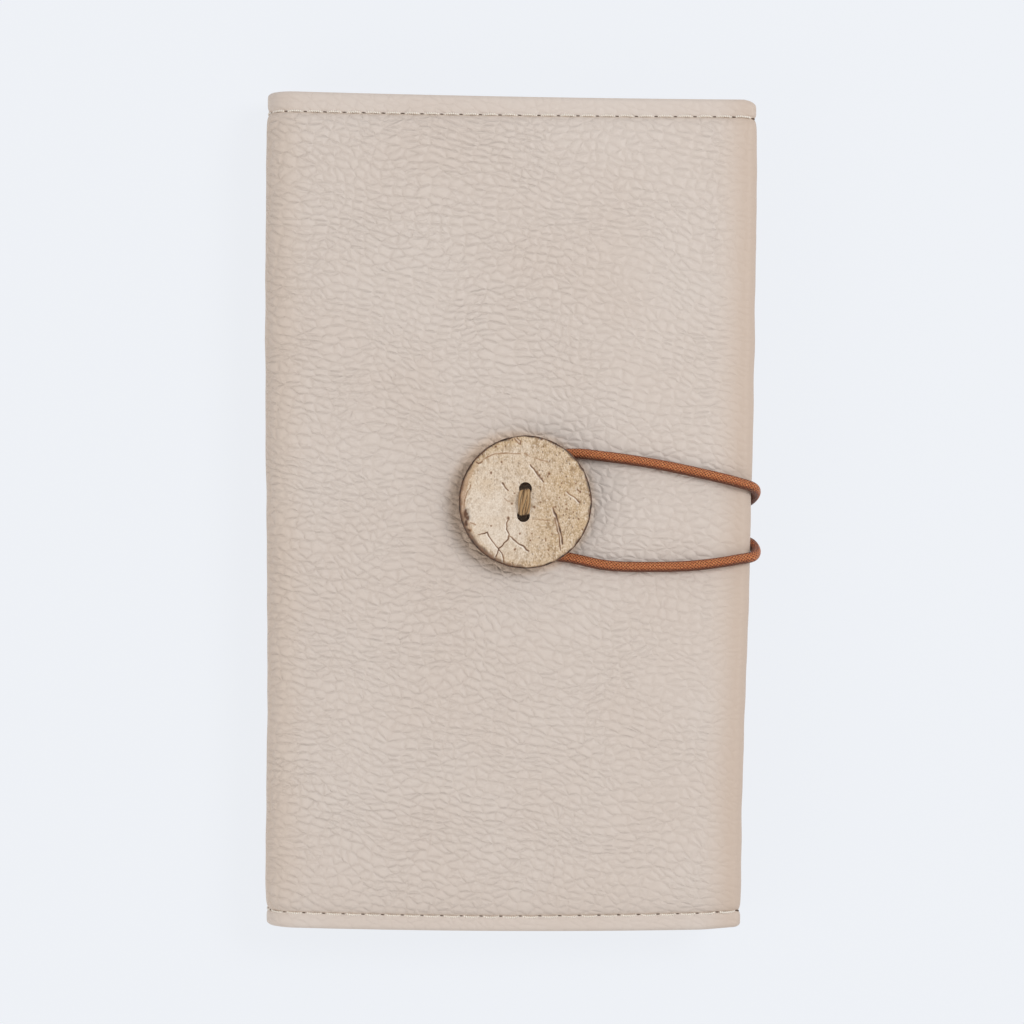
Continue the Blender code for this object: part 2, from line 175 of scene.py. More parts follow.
def makeTube(name, places, radius, around, finish, closed=False):
    # a round strand along the places; its UV map runs along it in metres and once round it
    if closed:
        tangents = np.roll(places, -1, 0) - np.roll(places, 1, 0)
    else:
        tangents = np.gradient(places, axis=0)
    tangents /= np.linalg.norm(tangents, axis=1)[:, None]
    side = np.cross(tangents[0], (0, 0, 1) if abs(tangents[0][2]) < 0.9 else (0, 1, 0))
    angles = np.arange(around)[:, None] * 2 * math.pi / around
    rings = []
    for place, tangent in zip(places, tangents):
        side = side - tangent * side.dot(tangent)
        side /= np.linalg.norm(side)
        rings.append(place + radius * (np.cos(angles) * side + np.sin(angles) * np.cross(side, tangent)))
    index = np.pad(np.arange(len(places) * around).reshape(-1, around), ((0, int(closed)), (0, 1)), "wrap")
    steps = np.linalg.norm(np.diff(places, axis=0), axis=1)
    along = np.cumsum([0, *steps, steps[0]])[:len(index)] * mm
    pattern = np.stack(np.meshgrid(along, np.arange(around + 1) / around, indexing="ij"), 2)
    faces, corners = quads(index, True).tolist(), quads(pattern, True).reshape(-1, 2)
    if not closed:
        faces += [index[0, :-1].tolist(), index[-1, :-1][::-1].tolist()]
        corners = np.concatenate((corners, [(along[0], 0.5)] * around, [(along[-1], 0.5)] * around))
    thing = makeMesh(name, np.concatenate(rings), faces, finish)
    storeUv(thing, corners)
    return thing


# Small helpers for node trees. They add to the tree that was started last, and its look names its colours.

bench = {}


def addNode(kind, inputs=None, **options):
    # gives the new node's outputs
    made = bench["tree"].nodes.new(kind)
    for name, value in options.items():
        setattr(made, name, value)
    for name, value in (inputs or {}).items():
        if isinstance(value, bpy.types.NodeSocket):
            bench["tree"].links.new(value, made.inputs[name])
        else:
            made.inputs[name].default_value = value
    return made.outputs


def calc(operation, *values):
    return addNode("ShaderNodeMath", dict(enumerate(values)), operation=operation)[0]


def plus(a, b):
    return calc("ADD", a, b)


def minus(a, b):
    return calc("SUBTRACT", a, b)


def timesPlus(a, b, c):
    return calc("MULTIPLY_ADD", a, b, c)


def largest(a, b):
    return calc("MAXIMUM", a, b)


def times(first, *others):
    for other in others:
        first = calc("MULTIPLY", first, other)
    return first


def wave(value, halves=1, folded=False):
    # a sine that takes this many half waves for each 1 of the value
    made = calc("SINE", times(value, halves * math.pi))
    return calc("ABSOLUTE", made) if folded else made


def ramp(value, low, high, fromLow=0.0, toHigh=1.0):
    # value from low to high, remapped smoothly to a new range
    inputs = {"Value": value, "From Min": low, "From Max": high, "To Min": fromLow, "To Max": toHigh}
    return addNode("ShaderNodeMapRange", inputs, interpolation_type="SMOOTHSTEP")["Result"]


def vectorCalc(operation, a, b):
    return addNode("ShaderNodeVectorMath", {0: a, 1: b}, operation=operation)[0]


def scaled(vector, sizes):
    # coordinates in metres, counted in cells of the given sizes in millimetres
    return vectorCalc("MULTIPLY", vector, [1 / (size * mm) for size in sizes])


def partsOf(vector):
    return addNode("ShaderNodeSeparateXYZ", {"Vector": vector})


def vectorOf(**parts):
    return addNode("ShaderNodeCombineXYZ", parts)[0]


def placeBy(kind):
    return addNode("ShaderNodeTexCoord")[kind]


def mark(name):
    # a value stored on the mesh
    return addNode("ShaderNodeAttribute", attribute_name=name)["Fac"]


def noiseAt(vector, detail, part="Fac"):
    return addNode("ShaderNodeTexNoise", {"Vector": vector, "Scale": 1.0, "Detail": detail})[part]


def noiseOver(place, sizes, detail=2.0):
    return noiseAt(scaled(place, sizes), detail)


def spotsOver(place, sizes):
    # many scattered points: the distance to the nearest, and its colour
    return addNode("ShaderNodeTexVoronoi", {"Vector": scaled(place, sizes), "Scale": 1.0})


def nudged(place, sizes, reach):
    # a place moved about by smooth noise; sizes and reach in millimetres
    push = vectorCalc("SUBTRACT", noiseAt(scaled(place, sizes), 1.0, "Color"), (0.5, 0.5, 0.5))
    return vectorCalc("ADD", place, vectorCalc("MULTIPLY", push, [v * mm for v in reach]))


def level(red, green, blue):
    # a colour given as screen levels from 0 to 255
    return (*[((v / 255 + 0.055) / 1.055) ** 2.4 if v > 10 else v / 3295 for v in (red, green, blue)], 1)


def mixColour(share, *colours):
    # one colour laid over another, each named in the look or come from a node
    look = bench["look"]
    a, b = [level(*look[colour]) if isinstance(colour, str) else colour for colour in colours]
    return addNode("ShaderNodeMix", {0: share, 6: a, 7: b}, data_type="RGBA", blend_type="MIX")[2]


def newFinish(name, look):
    finish = bpy.data.materials.new(name)
    finish.use_nodes = True
    surface = finish.node_tree.nodes["Principled BSDF"].inputs
    surface["Roughness"].default_value = look["roughness"]
    surface["Sheen Weight"].default_value = look.get("sheen", 0)
    bench.update(tree=finish.node_tree, look=look, surface=surface, finish=finish)
    return finish


def addBump(height):
    inputs = {"Height": height, "Distance": bench["look"]["depth"] * mm, "Strength": 1.0}
    bench["tree"].links.new(addNode("ShaderNodeBump", inputs)["Normal"], bench["surface"]["Normal"])


def paint(colour, *layers):
    # each layer is a share and the colour that it lays over those before it; gives the finished material
    for share, over in layers:
        colour = mixColour(share, colour, over)
    bench["tree"].links.new(colour, bench["surface"]["Base Color"])
    return bench["finish"]


def settle(piece, slot, *nodes, body=None):
    # the body that a piece rides on and the solids that it stands for; slot is not used
    if body:
        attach(piece, body)
    if nodes:
        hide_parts(*nodes)


# Camera, light and floor.

view = {
    "millimetresPerPixel": 0.2381,
    "pictureWidth": 1024,
    "lens": 135,
    "sensor": 36,
    "centre": (-1.04, -0.24),
    "worldLight": 0.58,
    "key": {"place": (0.62, 0.33, 1.0), "size": 0.5, "power": 5.5, "colour": (1, 1, 1)},
    "fill": {"place": (-0.7, -0.35, 0.55), "size": 0.7, "power": 1.7, "colour": (1, 0.93, 0.85)},
    "floorReach": 1500,
    "floorHeight": -0.1,
    "floorLevels": (239, 242, 247),
    "floorGlow": 0.9,
    "roughness": 0.9,
}

thickness = boxInMm("front_leather")[1].z
distance = view["millimetresPerPixel"] * view["pictureWidth"] * view["lens"] / view["sensor"]
camera = bpy.data.cameras.new("straightAbove")
camera.lens = view["lens"]
camera.sensor_width = view["sensor"]
camera.clip_start = 0.01
cameraObject = makeObject("straightAbove", camera)
cameraObject.location = Vector((*view["centre"], thickness + distance)) * mm
bpy.context.scene.camera = cameraObject
bpy.context.scene.view_settings.view_transform = "Standard"

for name in ("key", "fill"):
    lamp = view[name]
    light = bpy.data.lights.new(name, "AREA")
    light.shape, light.size, light.energy, light.color = "DISK", lamp["size"], lamp["power"], lamp["colour"]
    lightObject = makeObject(name, light)
    lightObject.location = lamp["place"]
    lightObject.rotation_euler = (-Vector(lamp["place"])).to_track_quat("-Z", "Y").to_euler()

world = bpy.data.worlds.new("studio")
bpy.context.scene.world = world
world.use_nodes = True
world.node_tree.nodes["Background"].inputs["Color"].default_value = (1, 1, 1, 1)
world.node_tree.nodes["Background"].inputs["Strength"].default_value = view["worldLight"]

reach = view["floorReach"]
corners = [(x * reach, y * reach, view["floorHeight"]) for x, y in ((-1, -1), (1, -1), (1, 1), (-1, 1))]
floor = makeMesh("floor", corners, [(0, 1, 2, 3)], newFinish("paleFloor", view))
floorColour = level(*view["floorLevels"])
glow = view["floorGlow"]
bench["surface"]["Base Color"].default_value = (*[v * (1 - glow) for v in floorColour[:3]], 1)
bench["surface"]["Emission Color"].default_value = floorColour
bench["surface"]["Emission Strength"].default_value = glow
bench["surface"]["Specular IOR Level"].default_value = 0
print("camera, light and floor are set")


# The covers' leather: its shape.

cover = {
    "leather": 1.1,
    "lining": 0.4,
    "hem": 4,
    "swellLength": 9,
    "seamPinch": 0.6,
    "hemPinch": 0.25,
    "sideWaver": (0.16, 9),
    "cornerRadius": 0.6,
    "touchGap": 0.3,
    "spineRadius": 7,
    "shoulderReach": 9,
    "shoulderDrop": 1,
    "backSeamLift": 3,
    "frontDepth": 7.2,
    "backDepth": 10.5,
    "packedLayers": 4.9,
    "boardSpineMargin": 11,
    "sleeveMargin": 17,
    "grooveDepth": 0.24,
    "grooveWidth": 0.7,
    "stitchPitch": 4.65,
    "undulation": 0.22,
    "columnStep": 1.25,
    "buttonSlip": 0.3,
    "sharpFrom": 60,
    "backPatternShift": 0.31,
}

# How the sewn cover differs from a true rectangle, seen from above: its corners, the bow of its
# ends, its seams, and how far its edge and its spine drift at some heights.
slant = {
    "topLeft": (-0.33, 0.55),
    "topRight": (0.69, -1.65),
    "bottomLeft": (-0.33, 0.6),
    "bottomRight": (-3.36, 0.1),
    "topBow": -0.35,
    "bottomBow": -0.75,
    "bowHeights": (20, 100),
    "cornerSag": (0.85, 3.4),
    "cornerLift": (0.5, 11),
    "cornerHeights": (93, 98),
    "topSeam": (-0.75, -0.4, -0.1),
    "bottomSeam": (-0.4, -0.6, 0),
    "seamReach": 14,
    "edge": ((-99, -70, -20, 26, 74, 99), (0.45, 0, 0.7, 0.9, 0.7, 0.3)),
    "spine": ((-99, -85, -45, 0, 50, 74, 99), (-0.55, -0.5, 0.1, -0.25, -0.5, -0.2, -0.3)),
}

# How the button has drawn the padded front down, and the pucker and swell round it.
press = {
    "depth": 0.35,
    "flatTo": 14.5,
    "endsAt": 19,
    "bulge": 0.4,
    "bulgeBand": (14.5, 17.5, 18, 30),
    "puckers": 0.14,
    "puckerCount": 31,
    "puckerBand": (12, 16, 16.5, 21),
    "puckerBend": 2.5,
}

halfHeight = boxInMm("front_leather")[1].y - cover["leather"] / 2
seamY = halfHeight - cover["hem"]
seamDepth = 2 * cover["leather"] + cover["touchGap"]
spineX = boxInMm("spine_leather")[0].x
frontEdgeX = boxInMm("front_leather")[1].x
backEdgeX = boxInMm("back_leather")[1].x
liningHalfHeight = boxInMm("front_lining")[1].y
buttonLow, buttonHigh = boxInMm("closure_button")
buttonX = (buttonLow.x + buttonHigh.x) / 2
buttonY = (buttonLow.y + buttonHigh.y) / 2 - cover["buttonSlip"]
buttonRadius = (buttonHigh.x - buttonLow.x) / 2


def slanted(x, y):
    # where a point of the true rectangle goes
    across, up = shareOf(x, spineX, frontEdgeX), shareOf(y, -halfHeight, halfHeight)
    corners = [slant[corner] for corner in ("bottomLeft", "bottomRight", "topLeft", "topRight")]
    moves = [between(between(a, b, across), between(c, d, across), up) for a, b, c, d in zip(*corners)]
    moveX, moveY = moves
    moveX = moveX + between(np.interp(y, *slant["spine"]), np.interp(y, *slant["edge"]), across)
    bow = 4 * across * (1 - across) * smoothStep(np.abs(y), *slant["bowHeights"])
    moveY = moveY + bow * np.where(y > 0, slant["topBow"], slant["bottomBow"])
    for corner, direction in (("cornerSag", -1), ("cornerLift", 1)):
        amount, reach = slant[corner]
        near = smoothStep(-direction * y, *slant["cornerHeights"])
        moveY = moveY + direction * amount * smoothStep(x, frontEdgeX - reach, frontEdgeX) * near
    past = np.abs(y) - seamY
    closeness = np.clip(1 - np.where(past > 0, past / cover["hem"], -past / slant["seamReach"]), 0, 1)
    seams = [np.interp(across, (0, 0.5, 1), slant[end]) for end in ("topSeam", "bottomSeam")]
    return x + moveX, y + moveY + closeness * np.where(y > 0, *seams)


def fullness(y):
    # how full the padding is, from 0 at the seams to 1
    return roundOver(shareOf(seamY - np.abs(y), 0, cover["swellLength"]))


def endRounding(y, radius):
    # how far a rounded end has drawn in
    return radius * (1 - roundOver(shareOf(halfHeight - np.abs(y), 0, radius)))


def sideInset(y):
    reach, size = cover["sideWaver"]
    waver = reach * wander(y, 0 * y, size, 3.1) * fullness(y)
    pinch = between(cover["seamPinch"], cover["hemPinch"], smoothStep(np.abs(y), seamY + 0.2, seamY + 1.6))
    return pinch * (1 - fullness(y)) + endRounding(y, cover["cornerRadius"]) + waver


def outerFaces(y):
    # heights of the front's and the back's outer face, drawn together at the seams
    slack = 1 - fullness(y)
    return thickness - (cover["frontDepth"] - seamDepth) / 2 * slack, cover["backSeamLift"] * slack


def sheetRows(limit):
    # heights of the rows: close together at the folded end, the seam and the swell
    end = halfHeight - np.array([0, 0.02, 0.06, 0.13, 0.22, 0.34, 0.48, 0.66])
    hem = np.arange(halfHeight - 1.0, seamY + 0.9, -0.45)
    seam = seamY + np.array([0.85, 0.6, 0.4, 0.2, 0, -0.2, -0.4, -0.6, -0.85, -1.15, -1.5])
    swell = np.arange(seamY - 2, seamY - cover["swellLength"] - 2, -0.7)
    middle = np.linspace(0, swell[-1], 66)[:-1]
    upper = np.unique(np.concatenate((end, hem, seam, swell, middle)))
    upper = np.append(upper[upper < limit - 0.1], limit)
    return np.concatenate((-upper[::-1], upper[1:]))


def spineBend(y, side, depth, turns):
    # a section's first two parts, up from the middle of the spine and round its corner, the height of the
    # face that it comes to, and where it lies flat from
    front, back = outerFaces(y)
    face = front if side > 0 else back
    radius = np.minimum(cover["spineRadius"], (front - back) / 2)
    centreX, centreZ = spineX + sideInset(y) + radius, face - side * radius
    bend, middle = radius - depth, (front + back) / 2
    turn = np.radians(np.linspace(180, 90, turns))
    parts = [
        (centreX - bend, middle + (centreZ - middle) * np.linspace(0, 1, 5)[:-1]),
        (centreX + bend * np.cos(turn), centreZ + side * bend * np.sin(turn)),
    ]
    return parts, face, centreX


def layOut(rows, parts, side):
    # a section's parts joined for each row: the columns, the slanted places, their normals and their pattern
    y = rows[:, None]
    grids = [np.broadcast_arrays(x, z, y)[:2] for x, z in parts]
    columnX, columnZ = [np.concatenate(grid, axis=1) for grid in zip(*grids)]
    rowY = np.tile(y, (1, columnX.shape[1]))
    places = np.stack((*slanted(columnX, rowY), columnZ), axis=2)
    normals = np.cross(np.gradient(places, axis=1), np.gradient(places, axis=0)) * side
    normals = normals / np.maximum(np.linalg.norm(normals, axis=2, keepdims=True), 1e-9)
    middle = len(rows) // 2
    steps = np.hypot(np.diff(columnX[middle]), np.diff(columnZ[middle]))
    along = np.concatenate(([0], np.cumsum(steps)))
    return columnX, rowY, places, normals, np.stack((along + 0 * rowY, rowY), axis=2)


def makeShell(name, outer, inner, side, pattern, finish):
    # a sheet from its two faces, given as rows of places, and the strips that close its ends
    index = np.arange(outer.shape[0] * outer.shape[1]).reshape(outer.shape[:2])
    shift = index.size
    front = quads(index, side < 0)
    faces = [front, front[:, ::-1] + shift]
    for line, turn in ((index[0], -1), (index[-1], 1), (index[:, 0], 1), (index[:, -1], -1)):
        p, q = (line[:-1], line[1:])[::turn]
        faces.append(np.stack((p, q, q + shift, p + shift), 1)[:, ::side])
    points = np.concatenate((outer.reshape(-1, 3), inner.reshape(-1, 3)))
    thing = makeMesh(name, points, np.concatenate(faces).tolist(), finish)
    thing.data.set_sharp_from_angle(angle=math.radians(cover["sharpFrom"]))
    storePattern(thing, np.tile(pattern.reshape(-1, 2) * mm, (2, 1)))
    return thing


def coverSection(y, side, edge, depth):
    # over the cover, round its edge and back along the sleeve; the sheet's middle lies this depth inside
    parts, face, centreX = spineBend(y, side, depth, 12)
    outer = face - side * depth
    room = cover["frontDepth"] if side > 0 else cover["backDepth"]
    inner = face - side * (seamDepth + (room - seamDepth) * fullness(y) - depth)
    drop = cover["shoulderDrop"] * fullness(y)
    tip = np.abs(outer - inner) / 2 - drop
    apex = edge - sideInset(y) - depth
    startX, run = apex - cover["shoulderReach"], cover["shoulderReach"] - tip
    flatCount = int((edge - cover["shoulderReach"] - spineX - cover["spineRadius"]) / cover["columnStep"])
    flat = np.linspace(0, 1, flatCount)[1:-1]
    shoulder, underside = np.linspace(0, 1, 9)[:-1], np.linspace(1, 0, 7)[1:]
    nose = np.radians(np.linspace(90, -90, 19))
    mouth = spineX + cover["sleeveMargin"] - cover["touchGap"]
    lip = np.array([0.75, 0.45, 0.25, 0.1, 0.0])
    parts += [
        (centreX + (startX - centreX) * flat, outer),
        (startX + run * shoulder, outer - side * drop * (1 - np.cos(math.pi * shoulder)) / 2),
        (apex - tip + tip * np.cos(nose), (outer + inner) / 2 + side * tip * np.sin(nose)),
        (startX + run * underside, inner + side * drop * (1 - np.cos(math.pi * underside)) / 2),
        (startX + (mouth + 1.2 - startX) * np.linspace(0, 1, 24)[1:], inner),
        (mouth + lip, inner),
    ]
    return parts, tip, lip


def pressed(x, y):
    # how far the button has drawn the cover down
    far = np.hypot(x - buttonX, y - buttonY)
    return press["depth"] * (1 - smoothStep(far, press["flatTo"], press["endsAt"]))


def topRelief(x, y):
    # height of the front's outer face over its plain shape
    relief = cover["undulation"] * (wander(x, y, 34, 1.7) * 0.7 + wander(x, y, 15, 5.2) * 0.3)
    relief = relief * smoothStep(seamY - np.abs(y), 2, 22)
    far = np.hypot(x - buttonX, y - buttonY)
    angle = np.arctan2(y - buttonY, x - buttonX)
    ridges = np.sin(press["puckerCount"] * angle + press["puckerBend"] * wander(x, y, 9, 8.8))
    ridges = ridges * band(far, *press["puckerBand"]) * (0.6 + 0.6 * wander(x, y, 6, 4.4))
    relief = relief - pressed(x, y) + press["puckers"] * ridges
    # the padding swells beside the button, away from the elastic
    swell = band(far, *press["bulgeBand"]) * smoothStep(buttonX - x, -9, 3)
    return relief + press["bulge"] * swell


def seamRelief(y, along):
    # the groove that the stitches draw, deeper at each needle hole
    pull = 0.75 + 0.25 * np.cos(2 * math.pi * along / cover["stitchPitch"])
    off = np.abs(y) - seamY
    plump = 0.02 * hill(off - 2.2, 1.1) + 0.05 * hill(off + 2.0, 1.2)
    return plump - cover["grooveDepth"] * hill(off, cover["grooveWidth"]) * pull


def makeCover(name, side, edge, finish):
    rows = sheetRows(halfHeight)
    half = cover["leather"] / 2
    # the hem's folded end sinks towards the middle of the seam
    sunken = endRounding(rows[:, None], (seamDepth - cover["leather"]) / 2 - 0.04)
    parts, tip, lip = coverSection(rows[:, None], side, edge, half + sunken)
    x, y, places, normals, pattern = layOut(rows, parts, side)
    counts = np.cumsum([0] + [np.broadcast(*part).shape[1] for part in parts])
    # the sheet thins out at the sleeve's lip, and its inner face has less room round the edge
    fade = np.full(x.shape[1], half)
    fade[-len(lip):] = half * roundOver(lip / lip[0])
    fade[-1] = 0.03
    inside = np.tile(fade, (len(rows), 1))
    arc = slice(counts[4], counts[5])
    inside[:, arc] = np.minimum(inside[:, arc], np.maximum(tip * 0.85, 0.02))
    onFace = np.zeros(x.shape[1])
    onFace[counts[1]:counts[4]] = 1
    relief = seamRelief(y, pattern[..., 0])
    relief = relief * (1 - smoothStep(np.abs(y), halfHeight - 1.4, halfHeight - 0.5))
    if side > 0:
        relief = relief + topRelief(x, y) * onFace * (1 - smoothStep(x, edge - 12, edge - 3))
    outer = places + normals * (fade[None, :] + relief)[..., None]
    innerRelief = np.minimum(relief, 0.2) if side > 0 else relief * 0
    inner = places - normals * (inside - innerRelief)[..., None]
    if side < 0:
        outer[..., 2] = np.maximum(outer[..., 2], 0.0)
        pattern = pattern + cover["backPatternShift"] / mm
    thing = makeShell(name, outer, inner, side, pattern, finish)
    # where the leather is stretched over the hem, the folds and the edge, which also get painted shade, and
    # the ring round the button, which gets painted light and painted shade
    hemmed = smoothStep(np.abs(y), seamY + 0.3, seamY + 1.2)
    nearSpine = 0.55 * (1 - smoothStep(x, spineX + 2, spineX + 12))
    steep = smoothStep(1 - np.abs(normals[..., 2]), 0.02, 0.6)
    reach = buttonRadius + 2.4 + 1.1 * smoothStep(buttonX - x, -2, 13)
    near = 1 - smoothStep(np.hypot(x - buttonX, y - buttonY), buttonRadius - 0.5, reach)
    calm = smoothStep(x, -10, 45) * (1 - 0.3 * smoothStep(np.abs(y), 20, 70))
    storeMarks(
        thing,
        copies=2,
        hemmed=hemmed,
        folded=np.maximum(steep, nearSpine) * (1 - hemmed * 0.6),
        nearButton=near * onFace * (side > 0),
        atEdge=smoothStep(x, edge - 11, edge - 2) * (1 - hemmed * 0.3),
        calm=calm - 0.6 * (1 - smoothStep(x, -58, -38)),
    )
    return thing, {"rows": rows, "outer": outer, "normals": normals, "counts": counts}


# The leather's finish.

grain = {
    "roughness": 0.55,
    "sheen": 0.06,
    "flow": -12,
    "bends": (((26, 26, 26), (8, 9, 0)), ((3.8, 3, 4), (1.4, 1.1, 0)), ((1.4, 1.2, 1.2), (0.4, 0.32, 0))),
    "cell": (3.0, 1.9),
    "smallCell": (2.0, 1.35),
    "uneven": 0.85,
    "sharperPatch": (2.6, 1.9, 2),
    "smallerPatch": (11, 8, 10),
    "strongerPatch": (34, 30, 30),
    "tonePatch": (38, 38, 38),
    "crumple": (0.8, 1.1, 1),
    "pore": (0.5, 0.5, 0.5),
    "depth": 0.18,
    "colour": (217, 205, 196),
    "dark": (177, 160, 148),
    "warm": (206, 186, 171),
    "fold": (208, 188, 170),
    "edgeShadeAndTan": (202, 181, 164),
    "paintedLightNearButton": (248, 218, 190),
    "shadow": (134, 110, 90),
    "creaseShare": 0.28,
    "acrossShare": 0.5,
}


def cellsOver(place, sizes):
    # distance to the edge of irregular cells, and whether that edge lies along the flow or across it
    kind = "ShaderNodeTexVoronoi"
    vector = scaled(place, (*sizes, 1))
    inputs = {"Vector": vector, "Scale": 1.0, "Randomness": grain["uneven"]}
    edge = addNode(kind, inputs, feature="DISTANCE_TO_EDGE", voronoi_dimensions="2D")["Distance"]
    middle = addNode(kind, inputs, voronoi_dimensions="2D")["Position"]
    parts = partsOf(vectorCalc("ABSOLUTE", vectorCalc("SUBTRACT", vector, middle), (0, 0, 0)))
    return edge, ramp(minus(parts["Y"], parts["X"]), -0.25, 0.15)


def leatherFinish():
    newFinish("grainedLeather", grain)
    place = placeBy("UV")
    hemmed, folded, near, atEdge = map(mark, ("hemmed", "folded", "nearButton", "atEdge"))
    bent = place
    for sizes, reach in grain["bends"]:
        bent = nudged(bent, sizes, reach)
    turn = {"Vector": bent, "Rotation": (0, 0, math.radians(-grain["flow"]))}
    flowing = addNode("ShaderNodeMapping", turn)[0]
    # pebbles with soft valleys, the creases sharper in some patches, and smaller cells in others
    sharper = ramp(noiseOver(place, grain["sharperPatch"], 1.0), 0.36, 0.6, 0.6, 1.0)
    smaller = ramp(noiseOver(place, grain["smallerPatch"]), 0.42, 0.62, 0.55, 0.05)
    edges, creases = [], []
    for cell, width, where in (("cell", 0.19, sharper), ("smallCell", 0.2, smaller)):
        away, lying = cellsOver(flowing, grain[cell])
        along = timesPlus(lying, 1 - grain["acrossShare"], grain["acrossShare"])
        edges.append(away)
        creases.append(times(ramp(away, 0.0, width, 1.0, 0.0), where, along))
    strong = ramp(noiseOver(place, grain["strongerPatch"], 1.0), 0.35, 0.62, 0.85, 1.1)
    crease = times(largest(*creases), timesPlus(mark("calm"), -0.45, strong))
    crumple = times(near, ramp(noiseOver(flowing, grain["crumple"], 3.0), 0.4, 0.6))
    # the hem and the edge are stretched smooth
    smooth = largest(times(hemmed, 0.6), times(atEdge, 0.7))
    keep = minus(1.0, largest(smooth, times(folded, 0.15)))
    creaseKept = times(crease, keep)
    height = minus(times(ramp(edges[0], 0.0, 0.4), keep, 0.9), times(creaseKept, 0.5))
    addBump(timesPlus(noiseOver(place, grain["pore"]), 0.12, timesPlus(crumple, -0.6, height)))
    return paint(
        "colour",
        (ramp(noiseOver(place, grain["tonePatch"], 3.0), 0.3, 0.7, 0.0, 0.22), "warm"),
        (times(creaseKept, grain["creaseShare"]), "dark"),
        # painted shade in a warmer tone where the surface steepens over the folds and near the spine
        (times(folded, 0.75), "fold"),
        # painted shade in a tan tone towards the edge, where the cover slopes down
        (times(atEdge, 0.8), "edgeShadeAndTan"),
        # painted light beside the button, pale and warm, that lifts the shadow it casts, and painted shade
        # in the wrinkles there
        (times(near, 0.78), "paintedLightNearButton"),
        (timesPlus(crumple, 0.13, times(near, crease, 0.2)), "shadow"),
    )


coverLeather = leatherFinish()
frontLeather, frontSheet = makeCover("frontLeather", 1, frontEdgeX, coverLeather)
backLeather, backSheet = makeCover("backLeather", -1, backEdgeX, coverLeather)
print(f"covers: {len(frontLeather.data.polygons)} and {len(backLeather.data.polygons)} faces")


def bendWithFront(piece):
    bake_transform(piece)


def bendWithBack(piece):
    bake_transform(piece)


bendWithFront(frontLeather)
settle(frontLeather, "leather", "front_leather", "spine_leather")
bendWithBack(backLeather)
settle(backLeather, "leather", "back_leather")


# The linings: a woven cloth against the leather, from the middle of the spine in under the board.

weave = {
    "roughness": 0.85,
    "sheen": 0.25,
    "threadPitch": 0.42,
    "waverSize": (3, 3, 3),
    "waver": 0.7,
    "depth": 0.07,
    "colour": (182, 166, 152),
    "dark": (138, 121, 107),
}


def liningFinish():
    newFinish("wovenLining", weave)
    place = placeBy("UV")
    waver = times(noiseOver(place, weave["waverSize"]), weave["waver"])
    cells = partsOf(scaled(place, [weave["threadPitch"]] * 3))
    across, up = plus(cells["X"], waver), plus(cells["Y"], waver)
    over = calc("GREATER_THAN", times(wave(across), wave(up)), 0.0)
    height = plus(times(over, wave(across, 2, True)), times(minus(1.0, over), wave(up, 2, True)))
    addBump(height)
    return paint("dark", (times(height, 0.8), "colour"))


def makeLining(name, side, edge, finish):
    rows = sheetRows(liningHalfHeight)
    half = cover["lining"] / 2
    depth = cover["leather"] + cover["touchGap"] + half
    parts, face, centreX = spineBend(rows[:, None], side, depth, 10)
    endX = spineX + cover["boardSpineMargin"] - cover["touchGap"] - cover["lining"]
    flat = (thickness if side > 0 else 0) - side * (cover["packedLayers"] - half)
    ease = np.linspace(0, 1, 9)[1:]
    startZ = face - side * depth
    lastX = edge - cover["shoulderReach"] - cover["leather"]
    parts += [
        (centreX + (endX - centreX) * ease, startZ + (flat - startZ) * (1 - np.cos(math.pi * ease)) / 2),
        (endX + (lastX - endX) * np.linspace(0, 1, 24)[1:], flat),
    ]
    _, _, places, normals, pattern = layOut(rows, parts, side)
    return makeShell(name, places + normals * half, places - normals * half, side, pattern, finish)


liningCloth = liningFinish()
frontLining = makeLining("frontLining", 1, frontEdgeX, liningCloth)
bendWithFront(frontLining)
settle(frontLining, "lining", "front_lining", "spine_lining")
backLining = makeLining("backLining", -1, backEdgeX, liningCloth)
bendWithBack(backLining)
settle(backLining, "lining", "back_lining")
print("linings are in")


# Flat soft pieces: pads of foam, and pocket panels of the cover's leather with turned edges.

def edgeLines(half, step):
    ends = half - np.array([1.6, 1.0, 0.6, 0.35, 0.2, 0.1, 0.04, 0])
    upper = np.concatenate((np.linspace(0, ends[0], max(2, int(ends[0] / step)))[:-1], ends))
    return np.concatenate((-upper[:0:-1], upper))


def notched(x, middle, notch):
    # how far a notch has dipped the upper edge
    return notch[1] * np.clip(1 - (np.abs(x - middle) / notch[0]) ** 2, 0, 1) ** 0.6


